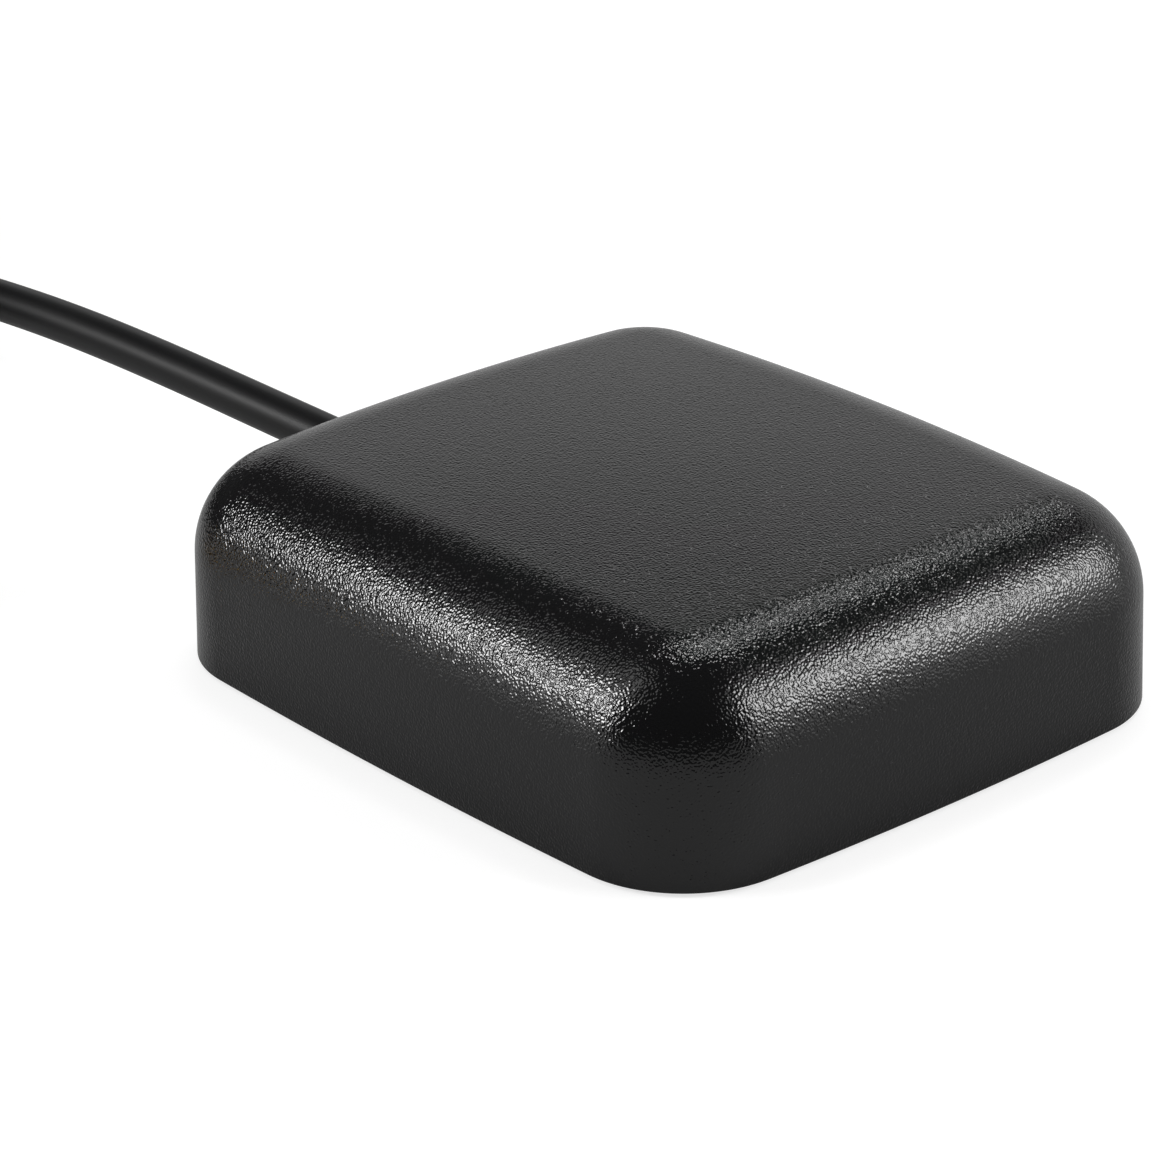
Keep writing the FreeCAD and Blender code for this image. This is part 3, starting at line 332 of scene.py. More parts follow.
def smooth_moulded_abs():
    """Black ABS from a plain ground mould: even satin with faint flow marks, duller in patches."""
    material, tree, skin, place = new_finish("smooth moulded ABS", {
        "Base Color": linear("#161617"), "IOR": 1.54})
    flow = add_node(tree, "ShaderNodeTexNoise", {
        "Vector": place, "Scale": 1 / (3.0 * MM), "Detail": 4.0, "Roughness": 0.55})
    dullness = add_node(tree, "ShaderNodeMapRange", {
        "Value": flow.outputs[0], "To Min": 0.34, "To Max": 0.5})
    tool_marks = add_node(tree, "ShaderNodeTexNoise", {
        "Vector": place, "Scale": 1 / (0.35 * MM), "Detail": 2.0})
    relief = add_node(tree, "ShaderNodeBump", {
        "Height": tool_marks.outputs[0], "Strength": 0.5, "Distance": 0.006 * MM})
    tree.links.new(dullness.outputs[0], skin.inputs["Roughness"])
    tree.links.new(relief.outputs["Normal"], skin.inputs["Normal"])
    return material


def moulded_silicone():
    """Black silicone rubber, moulded: dull, with a faint grey bloom in soft patches."""
    material, tree, skin, place = new_finish("moulded silicone rubber", {"Roughness": 0.62, "IOR": 1.43})
    bloom = add_node(tree, "ShaderNodeTexNoise", {
        "Vector": place, "Scale": 1 / (1.4 * MM), "Detail": 5.0, "Roughness": 0.6})
    colour = add_node(tree, "ShaderNodeMix", {
        "Factor": bloom.outputs[0], 6: linear("#101010"), 7: linear("#1e1e1d")}, data_type="RGBA")
    skin_grain = add_node(tree, "ShaderNodeTexNoise", {
        "Vector": place, "Scale": 1 / (0.12 * MM), "Detail": 1.0})
    relief = add_node(tree, "ShaderNodeBump", {
        "Height": skin_grain.outputs[0], "Strength": 0.6, "Distance": 0.005 * MM})
    tree.links.new(colour.outputs[2], skin.inputs["Base Color"])
    tree.links.new(relief.outputs["Normal"], skin.inputs["Normal"])
    return material


def black_oxide_steel():
    """Blackened carbon steel: a dark brown-grey sheen, uneven where the bath bit deeper."""
    material, tree, skin, place = new_finish("black oxide steel", {"Metallic": 1.0})
    bath = add_node(tree, "ShaderNodeTexNoise", {
        "Vector": place, "Scale": 1 / (0.8 * MM), "Detail": 5.0, "Roughness": 0.6})
    colour = add_node(tree, "ShaderNodeMix", {
        "Factor": bath.outputs[0], 6: linear("#2b2a2a"), 7: linear("#4c4742")}, data_type="RGBA")
    dullness = add_node(tree, "ShaderNodeMapRange", {
        "Value": bath.outputs[0], "To Min": 0.3, "To Max": 0.55})
    tree.links.new(colour.outputs[2], skin.inputs["Base Color"])
    tree.links.new(dullness.outputs[0], skin.inputs["Roughness"])
    return material


def sintered_ferrite():
    """Pressed and fired ferrite: a dead charcoal grey of packed grains, some of them glossier."""
    material, tree, skin, place = new_finish("sintered ferrite", {"IOR": 2.2})
    grains = add_node(tree, "ShaderNodeTexVoronoi", {"Vector": place, "Scale": 1 / (0.2 * MM)})
    colour = add_node(tree, "ShaderNodeMix", {
        "Factor": grains.outputs["Color"], 6: linear("#242426"), 7: linear("#3d3d40")}, data_type="RGBA")
    dullness = add_node(tree, "ShaderNodeMapRange", {
        "Value": grains.outputs["Color"], "To Min": 0.42, "To Max": 0.7})
    relief = add_node(tree, "ShaderNodeBump", {
        "Height": grains.outputs["Distance"], "Strength": 0.7, "Distance": 0.02 * MM})
    tree.links.new(colour.outputs[2], skin.inputs["Base Color"])
    tree.links.new(dullness.outputs[0], skin.inputs["Roughness"])
    tree.links.new(relief.outputs["Normal"], skin.inputs["Normal"])
    return material


def masked_laminate():
    """Green solder mask over woven glass and copper: glossy, with the weave just showing through and a
    paler green where the mask lies on copper."""
    material, tree, skin, place = new_finish("green solder mask on glass laminate", {
        "Roughness": 0.3, "IOR": 1.5})
    warp = add_node(tree, "ShaderNodeTexWave", {
        "Vector": place, "Scale": WAVES_PER_METRE / (0.45 * MM)}, bands_direction="X")
    weft = add_node(tree, "ShaderNodeTexWave", {
        "Vector": place, "Scale": WAVES_PER_METRE / (0.55 * MM)}, bands_direction="Y")
    weave = add_node(tree, "ShaderNodeMath", {
        0: warp.outputs[1], 1: weft.outputs[1]}, operation="MAXIMUM")
    lands = add_node(tree, "ShaderNodeTexVoronoi", {
        "Vector": place, "Scale": 1 / (3.5 * MM)}, distance="CHEBYCHEV", feature="DISTANCE_TO_EDGE")
    on_copper = add_node(tree, "ShaderNodeMath", {
        0: lands.outputs["Distance"], 1: LAND_GAP}, operation="GREATER_THAN")
    colour = add_node(tree, "ShaderNodeMix", {
        "Factor": on_copper.outputs[0], 6: linear("#10391f"), 7: linear("#1d6136")}, data_type="RGBA")
    relief = add_node(tree, "ShaderNodeBump", {
        "Height": weave.outputs[0], "Strength": 0.4, "Distance": 0.01 * MM})
    tree.links.new(colour.outputs[2], skin.inputs["Base Color"])
    tree.links.new(relief.outputs["Normal"], skin.inputs["Normal"])
    return material


def acrylic_foam_tape():
    """Double-sided acrylic foam tape: matt off-white with fine cells."""
    material, tree, skin, place = new_finish("acrylic foam tape", {"Roughness": 0.8, "IOR": 1.47})
    cells = add_node(tree, "ShaderNodeTexVoronoi", {"Vector": place, "Scale": 1 / (0.18 * MM)})
    colour = add_node(tree, "ShaderNodeMix", {
        "Factor": cells.outputs["Distance"], 6: linear("#dedcd2"), 7: linear("#c7c4b8")}, data_type="RGBA")
    tree.links.new(colour.outputs[2], skin.inputs["Base Color"])
    return material


def fired_patch():
    """Fired dielectric ceramic, chalky and buff with darker specks. On its top face lies the printed
    silver electrode: pale metal with the mesh of the printing screen left in it."""
    material, tree, skin, place = new_finish("fired ceramic with a printed silver electrode", {
        "IOR": 1.9})
    specks = add_node(tree, "ShaderNodeTexNoise", {
        "Vector": place, "Scale": 1 / (0.25 * MM), "Detail": 6.0, "Roughness": 0.7})
    ceramic = add_node(tree, "ShaderNodeMix", {
        "Factor": specks.outputs[0], 6: linear("#b3a48c"), 7: linear("#d9cdb8")}, data_type="RGBA")
    parts = add_node(tree, "ShaderNodeSeparateXYZ", {0: place})
    silver = add_node(tree, "ShaderNodeMath", {
        0: parts.outputs["Z"], 1: ELECTRODE_FLOOR}, operation="GREATER_THAN")
    colour = add_node(tree, "ShaderNodeMix", {
        "Factor": silver.outputs[0], 6: ceramic.outputs[2], 7: linear("#dcdad6")}, data_type="RGBA")
    dullness = add_node(tree, "ShaderNodeMapRange", {
        "Value": silver.outputs[0], "To Min": 0.7, "To Max": 0.36})
    mesh_marks = add_node(tree, "ShaderNodeTexWave", {
        "Vector": place, "Scale": WAVES_PER_METRE / (0.2 * MM)}, bands_direction="DIAGONAL")
    relief = add_node(tree, "ShaderNodeBump", {
        "Height": mesh_marks.outputs[1], "Strength": 0.25, "Distance": 0.004 * MM})
    tree.links.new(colour.outputs[2], skin.inputs["Base Color"])
    tree.links.new(silver.outputs[0], skin.inputs["Metallic"])
    tree.links.new(dullness.outputs[0], skin.inputs["Roughness"])
    tree.links.new(relief.outputs["Normal"], skin.inputs["Normal"])
    return material


def tin_plated_steel():
    """Bright tinplate: soft spangles of the tin over faint straight rolling lines."""
    material, tree, skin, place = new_finish("tin-plated steel", {
        "Base Color": linear("#c6c5c1"), "Metallic": 1.0})
    spangle = add_node(tree, "ShaderNodeTexVoronoi", {"Vector": place, "Scale": 1 / (1.3 * MM)})
    dullness = add_node(tree, "ShaderNodeMapRange", {
        "Value": spangle.outputs["Color"], "To Min": 0.22, "To Max": 0.38})
    stretched = add_node(tree, "ShaderNodeMapping", {"Vector": place, "Scale": (1.0, 0.03, 1.0)})
    rolling = add_node(tree, "ShaderNodeTexNoise", {
        "Vector": stretched.outputs[0], "Scale": 1 / (0.1 * MM), "Detail": 2.0})
    relief = add_node(tree, "ShaderNodeBump", {
        "Height": rolling.outputs[0], "Strength": 0.4, "Distance": 0.002 * MM})
    tree.links.new(dullness.outputs[0], skin.inputs["Roughness"])
    tree.links.new(relief.outputs["Normal"], skin.inputs["Normal"])
    return material


def moulded_epoxy():
    """Transfer-moulded epoxy of a chip: matt charcoal with glassy filler specks."""
    material, tree, skin, place = new_finish("moulded epoxy", {"Roughness": 0.68, "IOR": 1.55})
    filler = add_node(tree, "ShaderNodeTexNoise", {
        "Vector": place, "Scale": 1 / (0.06 * MM), "Detail": 2.0})
    colour = add_node(tree, "ShaderNodeMix", {
        "Factor": filler.outputs[0], 6: linear("#1a1a1b"), 7: linear("#303031")}, data_type="RGBA")
    tree.links.new(colour.outputs[2], skin.inputs["Base Color"])
    return material


def tinned_chip_ceramic():
    """Stacked ceramic of small chip parts: tan bodies between dull tinned ends."""
    material, tree, skin, place = new_finish("ceramic chips with tinned ends", {"IOR": 1.8})
    parts = add_node(tree, "ShaderNodeSeparateXYZ", {0: place})
    across = add_node(tree, "ShaderNodeMath", {0: parts.outputs["X"]}, operation="ABSOLUTE")
    from_middle = add_node(tree, "ShaderNodeMath", {
        0: across.outputs[0], 1: CHIP_COLUMN}, operation="SUBTRACT")
    reach = add_node(tree, "ShaderNodeMath", {0: from_middle.outputs[0]}, operation="ABSOLUTE")
    end = add_node(tree, "ShaderNodeMath", {
        0: reach.outputs[0], 1: CHIP_BODY_REACH}, operation="GREATER_THAN")
    grain = add_node(tree, "ShaderNodeTexNoise", {
        "Vector": place, "Scale": 1 / (0.1 * MM), "Detail": 3.0})
    body = add_node(tree, "ShaderNodeMix", {
        "Factor": grain.outputs[0], 6: linear("#8a6b48"), 7: linear("#a98a62")}, data_type="RGBA")
    colour = add_node(tree, "ShaderNodeMix", {
        "Factor": end.outputs[0], 6: body.outputs[2], 7: linear("#c9c8c4")}, data_type="RGBA")
    dullness = add_node(tree, "ShaderNodeMapRange", {
        "Value": grain.outputs[0], "To Min": 0.35, "To Max": 0.5})
    tree.links.new(colour.outputs[2], skin.inputs["Base Color"])
    tree.links.new(end.outputs[0], skin.inputs["Metallic"])
    tree.links.new(dullness.outputs[0], skin.inputs["Roughness"])
    return material


def soft_solder():
    """Reflowed solder: bright, with satin frost where it froze last."""
    material, tree, skin, place = new_finish("soft solder", {
        "Base Color": linear("#cfcecb"), "Metallic": 1.0})
    frost = add_node(tree, "ShaderNodeTexNoise", {
        "Vector": place, "Scale": 1 / (0.4 * MM), "Detail": 4.0, "Roughness": 0.65})
    dullness = add_node(tree, "ShaderNodeMapRange", {
        "Value": frost.outputs[0], "To Min": 0.12, "To Max": 0.5})
    relief = add_node(tree, "ShaderNodeBump", {
        "Height": frost.outputs[0], "Strength": 0.5, "Distance": 0.02 * MM})
    tree.links.new(dullness.outputs[0], skin.inputs["Roughness"])
    tree.links.new(relief.outputs["Normal"], skin.inputs["Normal"])
    return material


def extruded_pvc():
    """Black PVC jacket, extruded: deep satin with a slight orange peel, duller where it was handled."""
    material, tree, skin, place = new_finish("extruded black PVC", {
        "Base Color": linear("#0c0c0d"), "IOR": 1.53, "Specular IOR Level": 0.3})
    handling = add_node(tree, "ShaderNodeTexNoise", {
        "Vector": place, "Scale": 1 / (9.0 * MM), "Detail": 4.0, "Roughness": 0.55})
    dullness = add_node(tree, "ShaderNodeMapRange", {
        "Value": handling.outputs[0], "To Min": 0.34, "To Max": 0.46})
    peel = add_node(tree, "ShaderNodeTexNoise", {
        "Vector": place, "Scale": 1 / (0.6 * MM), "Detail": 2.0})
    relief = add_node(tree, "ShaderNodeBump", {
        "Height": peel.outputs[0], "Strength": 0.5, "Distance": 0.008 * MM})
    tree.links.new(dullness.outputs[0], skin.inputs["Roughness"])
    tree.links.new(relief.outputs["Normal"], skin.inputs["Normal"])
    return material


def tinned_copper():
    """Drawn copper wire with a thin coat of tin: pale metal, warm where the tin has worn through."""
    material, tree, skin, place = new_finish("tinned copper wire", {"Metallic": 1.0, "Roughness": 0.3})
    wear = add_node(tree, "ShaderNodeTexNoise", {
        "Vector": place, "Scale": 1 / (0.5 * MM), "Detail": 5.0, "Roughness": 0.65})
    colour = add_node(tree, "ShaderNodeMix", {
        "Factor": wear.outputs[0], 6: linear("#c9beb2"), 7: linear("#b8805a")}, data_type="RGBA")
    lines = add_node(tree, "ShaderNodeMapping", {"Vector": place, "Scale": (1.0, 0.05, 1.0)})
    drawn = add_node(tree, "ShaderNodeTexNoise", {"Vector": lines.outputs[0], "Scale": 1 / (0.05 * MM)})
    relief = add_node(tree, "ShaderNodeBump", {
        "Height": drawn.outputs[0], "Strength": 0.4, "Distance": 0.003 * MM})
    tree.links.new(colour.outputs[2], skin.inputs["Base Color"])
    tree.links.new(relief.outputs["Normal"], skin.inputs["Normal"])
    return material


def milky_dielectric():
    """Turned and extruded dielectric: milky white, waxy, with a soft cloudiness."""
    material, tree, skin, place = new_finish("milky dielectric plastic", {"IOR": 1.38})
    cloud = add_node(tree, "ShaderNodeTexNoise", {
        "Vector": place, "Scale": 1 / (0.9 * MM), "Detail": 4.0, "Roughness": 0.5})
    colour = add_node(tree, "ShaderNodeMix", {
        "Factor": cloud.outputs[0], 6: linear("#dfddd6"), 7: linear("#efeee9")}, data_type="RGBA")
    dullness = add_node(tree, "ShaderNodeMapRange", {
        "Value": cloud.outputs[0], "To Min": 0.3, "To Max": 0.45})
    tree.links.new(colour.outputs[2], skin.inputs["Base Color"])
    tree.links.new(dullness.outputs[0], skin.inputs["Roughness"])
    return material


def shrunk_polyolefin():
    """Heat-shrunk polyolefin: black satin, with shallow lengthwise puckers from the shrinking."""
    material, tree, skin, place = new_finish("heat-shrunk polyolefin", {
        "Base Color": linear("#181818"), "IOR": 1.5})
    stretched = add_node(tree, "ShaderNodeMapping", {"Vector": place, "Scale": (1.0, 0.12, 1.0)})
    puckers = add_node(tree, "ShaderNodeTexNoise", {
        "Vector": stretched.outputs[0], "Scale": 1 / (0.5 * MM), "Detail": 3.0, "Roughness": 0.5})
    dullness = add_node(tree, "ShaderNodeMapRange", {
        "Value": puckers.outputs[0], "To Min": 0.36, "To Max": 0.52})
    relief = add_node(tree, "ShaderNodeBump", {
        "Height": puckers.outputs[0], "Strength": 0.5, "Distance": 0.03 * MM})
    tree.links.new(dullness.outputs[0], skin.inputs["Roughness"])
    tree.links.new(relief.outputs["Normal"], skin.inputs["Normal"])
    return material


def gilt_brass():
    """Turned brass with a flash of gold: warm bright metal, with fine rings left by the turning tool."""
    material, tree, skin, place = new_finish("gold-plated turned brass", {"Metallic": 1.0})
    plating = add_node(tree, "ShaderNodeTexNoise", {
        "Vector": place, "Scale": 1 / (2.0 * MM), "Detail": 4.0, "Roughness": 0.6})
    colour = add_node(tree, "ShaderNodeMix", {
        "Factor": plating.outputs[0], 6: linear("#d8a84e"), 7: linear("#ecc878")}, data_type="RGBA")
    dullness = add_node(tree, "ShaderNodeMapRange", {
        "Value": plating.outputs[0], "To Min": 0.18, "To Max": 0.34})
    parts = add_node(tree, "ShaderNodeSeparateXYZ", {0: place})
    tool_marks = add_node(tree, "ShaderNodeTexNoise", {
        "W": parts.outputs["Y"], "Scale": 1 / (0.07 * MM), "Detail": 2.0}, noise_dimensions="1D")
    relief = add_node(tree, "ShaderNodeBump", {
        "Height": tool_marks.outputs[0], "Strength": 0.5, "Distance": 0.003 * MM})
    tree.links.new(colour.outputs[2], skin.inputs["Base Color"])
    tree.links.new(dullness.outputs[0], skin.inputs["Roughness"])
    tree.links.new(relief.outputs["Normal"], skin.inputs["Normal"])
    return material


def coated_tie_wire():
    """Wire tie coated in soft black PVC: glossy, with duller grey scuffs."""
    material, tree, skin, place = new_finish("PVC-coated tie wire", {"IOR": 1.53})
    scuffs = add_node(tree, "ShaderNodeTexNoise", {
        "Vector": place, "Scale": 1 / (1.1 * MM), "Detail": 6.0, "Roughness": 0.7})
    colour = add_node(tree, "ShaderNodeMix", {
        "Factor": scuffs.outputs[0], 6: linear("#0f0f10"), 7: linear("#242425")}, data_type="RGBA")
    dullness = add_node(tree, "ShaderNodeMapRange", {
        "Value": scuffs.outputs[0], "To Min": 0.22, "To Max": 0.5})
    tree.links.new(colour.outputs[2], skin.inputs["Base Color"])
    tree.links.new(dullness.outputs[0], skin.inputs["Roughness"])
    return material


GRAINED_ABS = spark_eroded_abs()
PLAIN_ABS = smooth_moulded_abs()
SILICONE = moulded_silicone()
BLACK_STEEL = black_oxide_steel()
FERRITE = sintered_ferrite()
LAMINATE = masked_laminate()
FOAM_TAPE = acrylic_foam_tape()
CERAMIC = fired_patch()
TINPLATE = tin_plated_steel()
EPOXY = moulded_epoxy()
CHIP_CERAMIC = tinned_chip_ceramic()
SOLDER = soft_solder()
JACKET = extruded_pvc()
COPPER = tinned_copper()
DIELECTRIC = milky_dielectric()
SHRINK_TUBE = shrunk_polyolefin()
GILT = gilt_brass()
TIE_PVC = coated_tie_wire()

lead.data.materials.append(JACKET)

# Pieces whose own solids are kept
CARRIED_OVER = {
    "base_cover": PLAIN_ABS,
    "rim_gasket": SILICONE,
    "base_screws": BLACK_STEEL,
    "base_magnet": FERRITE,
    "circuit_board": LAMINATE,
    "patch_tape": FOAM_TAPE,
    "ceramic_patch": CERAMIC,
    "feed_pin": GILT,
    "shield_can": TINPLATE,
    "amplifier_chip": EPOXY,
    "saw_filter": TINPLATE,
    "chip_components": CHIP_CERAMIC,
    "solder_joints": SOLDER,
    "cable_braid": COPPER,
    "cable_dielectric": DIELECTRIC,
    "cable_core": COPPER,
    "connector_body": GILT,
    "retaining_ring": GILT,
    "connector_gasket": SILICONE,
    "connector_insulator": DIELECTRIC,
    "centre_pin": GILT,
}
for node, finish in CARRIED_OVER.items():
    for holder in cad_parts[node].material_slots:
        holder.material = finish


# Housing
def plan_samples():
    """Samples round the puck's outline: each one's arc centre, arc radius and outward direction."""
    side_x = BODY_WIDTH / 2 - LONG_SIDE_RADIUS
    side_y = BODY_LENGTH / 2 - SHORT_SIDE_RADIUS
    corner_x = BODY_WIDTH / 2 - CORNER_RADIUS
    corner_y = BODY_LENGTH / 2 - CORNER_RADIUS
    # The corner arc's centre settles where it is tangent to both of the bowed sides
    for _ in range(SETTLING_ROUNDS):
        corner_x = side_x + math.sqrt((LONG_SIDE_RADIUS - CORNER_RADIUS) ** 2 - corner_y ** 2)
        corner_y = side_y + math.sqrt((SHORT_SIDE_RADIUS - CORNER_RADIUS) ** 2 - corner_x ** 2)
    low = math.atan2(corner_y, corner_x - side_x)
    high = math.atan2(corner_y - side_y, corner_x)
    arcs = [((side_x, 0), LONG_SIDE_RADIUS, -low, low, LONG_SIDE_STEPS),
            ((corner_x, corner_y), CORNER_RADIUS, low, high, CORNER_STEPS),
            ((0, side_y), SHORT_SIDE_RADIUS, high, math.pi - high, SHORT_SIDE_STEPS),
            ((-corner_x, corner_y), CORNER_RADIUS, math.pi - high, math.pi - low, CORNER_STEPS)]
    samples = []
    for half_turn in (0, 1):
        for (x, y), radius, start, end, steps in arcs:
            for step in range(steps):
                angle = start + (end - start) * step / steps + half_turn * math.pi
                way = Vector((math.cos(angle), math.sin(angle)))
                centre = Vector((x, y)) * (1 if half_turn == 0 else -1)
                samples.append((centre, radius, way))
    return samples


def drawn_in(sample, depth):
    """Where a sample of the outline lies once the outline is drawn in by a depth."""
    centre, radius, way = sample
    return centre + way * (radius - depth)


def flat_ring(depth, height):
    """The outline drawn in by a depth, as a level ring."""
    points = [drawn_in(sample, depth) for sample in plan_samples()]
    return [Vector((point.x, point.y, height)) for point in points]


def puck_skin(inset, floor):
    """Rings of points up a drafted wall, over the rolled edge and across the dome. They give the outer
    form, or with the wall's thickness as their inset the hollow in it."""
    rolled = EDGE_RADIUS - inset
    dome = DOME_RADIUS - inset
    dome_centre = BODY_HEIGHT - DOME_RADIUS
    rings = [[] for _ in range(WALL_LEVELS + ROUND_LEVELS + DOME_RINGS)]
    for sample in plan_samples():
        ball_height = BODY_HEIGHT - rolled
        # The ball that rolls the edge settles where it touches both the wall and the dome
        for _ in range(SETTLING_ROUNDS):
            ball_inset = inset + (ball_height - RIM_GAP) * math.tan(DRAFT) + rolled / math.cos(DRAFT)
            ball = drawn_in(sample, ball_inset)
            ball_height = dome_centre + math.sqrt((dome - rolled) ** 2 - ball.length_squared)
        ball = Vector((ball.x, ball.y, ball_height))
        way = sample[2]
        outward = Vector((way.x * math.cos(DRAFT), way.y * math.cos(DRAFT), math.sin(DRAFT)))
        upward = (ball - Vector((0, 0, dome_centre))).normalized()
        wall_top = ball_height + rolled * math.sin(DRAFT)
        for level in range(WALL_LEVELS):
            height = floor + (wall_top - floor) * level / WALL_LEVELS
            foot = drawn_in(sample, inset + (height - RIM_GAP) * math.tan(DRAFT))
            rings[level].append(Vector((foot.x, foot.y, height)))
        for level in range(ROUND_LEVELS):
            direction = outward.slerp(upward, level / (ROUND_LEVELS - 1))
            rings[WALL_LEVELS + level].append(ball + direction * rolled)
        contact = ball + upward * rolled
        for ring in range(DOME_RINGS):
            share = 1 - (ring + 1) / (DOME_RINGS + 1)
            x, y = contact.x * share, contact.y * share
            height = dome_centre + math.sqrt(dome ** 2 - x * x - y * y)
            rings[WALL_LEVELS + ROUND_LEVELS + ring].append(Vector((x, y, height)))
    rings.append([Vector((0, 0, dome_centre + dome))])
    return rings


def mesh_data(name, mesh):
    """Mesh data from edited geometry, which is freed."""
    data = bpy.data.meshes.new(name)
    mesh.to_mesh(data)
    mesh.free()
    return data


def skin_mesh(name, rings, closed=False):
    """A skin through rings of points. A ring of one point ends it, or where it is closed the last ring
    joins the first."""
    mesh = bmesh.new()
    laid = [[mesh.verts.new(point) for point in ring] for ring in rings]
    followers = laid[1:] + laid[:1] if closed else laid[1:]
    for lower, upper in zip(laid, followers):
        count = max(len(lower), len(upper))
        for index in range(count):
            after = (index + 1) % count
            corners = [lower[index % len(lower)], lower[after % len(lower)],
                       upper[after % len(upper)], upper[index % len(upper)]]
            mesh.faces.new(list(dict.fromkeys(corners)))
    bmesh.ops.recalc_face_normals(mesh, faces=mesh.faces)
    return mesh_data(name, mesh)


def worked(piece, tools, operation):
    """Cut tools out of a piece, or add them to it, and leave a plain mesh."""
    for tool in tools:
        change = piece.modifiers.new("change", "BOOLEAN")
        change.operation = operation
        change.solver = "EXACT"
        change.object = tool
    evaluated = piece.evaluated_get(bpy.context.evaluated_depsgraph_get())
    result = bpy.data.meshes.new_from_object(evaluated)
    piece.modifiers.clear()
    piece.data = result
    for tool in tools:
        bpy.data.objects.remove(tool)
    return piece


def rod(name, radius, start, end):
    """A closed cylinder between two points."""
    mesh = bmesh.new()
    axis = Vector(end) - Vector(start)
    place = (Matrix.Translation((Vector(start) + Vector(end)) / 2)
             @ axis.to_track_quat("Z", "Y").to_matrix().to_4x4())
    bmesh.ops.create_cone(mesh, cap_ends=True, segments=ROD_SIDES, radius1=radius, radius2=radius,
                          depth=axis.length, matrix=place)
    return keep(name, mesh_data(name, mesh))


def smooth(piece, crisp_edge=CRISP_EDGE):
    """Shade a piece smoothly, apart from its crisp edges."""
    piece.data.shade_smooth()
    piece.data.set_sharp_from_angle(angle=crisp_edge)


outer_skin = puck_skin(0, RIM_GAP + RIM_SOFTENING)
softened_rim = []
for step in range(RIM_STEPS):
    turn = math.pi / 2 * step / RIM_STEPS
    softened_rim.append(flat_ring(RIM_SOFTENING * (1 - math.sin(turn)),
                                  RIM_GAP + RIM_SOFTENING * (1 - math.cos(turn))))
inner_skin = puck_skin(WALL, GASKET_TOP)
rim = [flat_ring(RIM_LIP, GASKET_TOP), flat_ring(RIM_LIP, RIM_GAP)]
shell_rings = list(reversed(inner_skin)) + rim + softened_rim + outer_skin
housing = keep("housing", skin_mesh("housing", shell_rings))
screw_places = [(x, y) for x in (-SCREW_X, SCREW_X) for y in (-SCREW_Y, SCREW_Y)]
post_places = [(x, y) for x in (-POST_X, POST_X) for y in (-POST_Y, POST_Y)]
bosses = [rod("boss", BOSS_RADIUS, (x, y, BOSS_FOOT), (x, y, BOSS_TOP)) for x, y in screw_places]
posts = [rod("post", POST_RADIUS, (x, y, POST_FOOT), (x, y, POST_TOP)) for x, y in post_places]
housing = worked(housing, bosses + posts, "UNION")
pilots = [rod("pilot", PILOT_RADIUS, (x, y, PILOT_START), (x, y, PILOT_TOP)) for x, y in screw_places]
lead_hole = rod("lead_hole", LEAD_HOLE_RADIUS, (0, LEAD_HOLE_START, LEAD_HEIGHT),
                (0, LEAD_HOLE_END, LEAD_HEIGHT))
housing = worked(housing, pilots + [lead_hole], "DIFFERENCE")
smooth(housing)
housing.data.materials.append(GRAINED_ABS)
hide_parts("housing_cover")
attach(housing, "antenna")


# Turned and wound pieces
def ring_about(x, z, y, reach, sides=TURNED_SIDES):
    """A ring of points about a line along Y. Its reach is a length, or a function of the angle."""
    points = []
    for side in range(sides):
        angle = 2 * math.pi * side / sides
        distance = reach(angle) if callable(reach) else reach
        points.append(Vector((x + distance * math.cos(angle), y, z + distance * math.sin(angle))))
    return points


def hexagon_reach(apothem, angle):
    """How far a hexagon with flats above and below reaches at an angle, its corners barely softened."""
    flats = [math.cos(angle - math.radians(30 + 60 * side)) for side in range(3)]
    return apothem / sum(abs(flat) ** HEXAGON_SHARPNESS for flat in flats) ** (1 / HEXAGON_SHARPNESS)


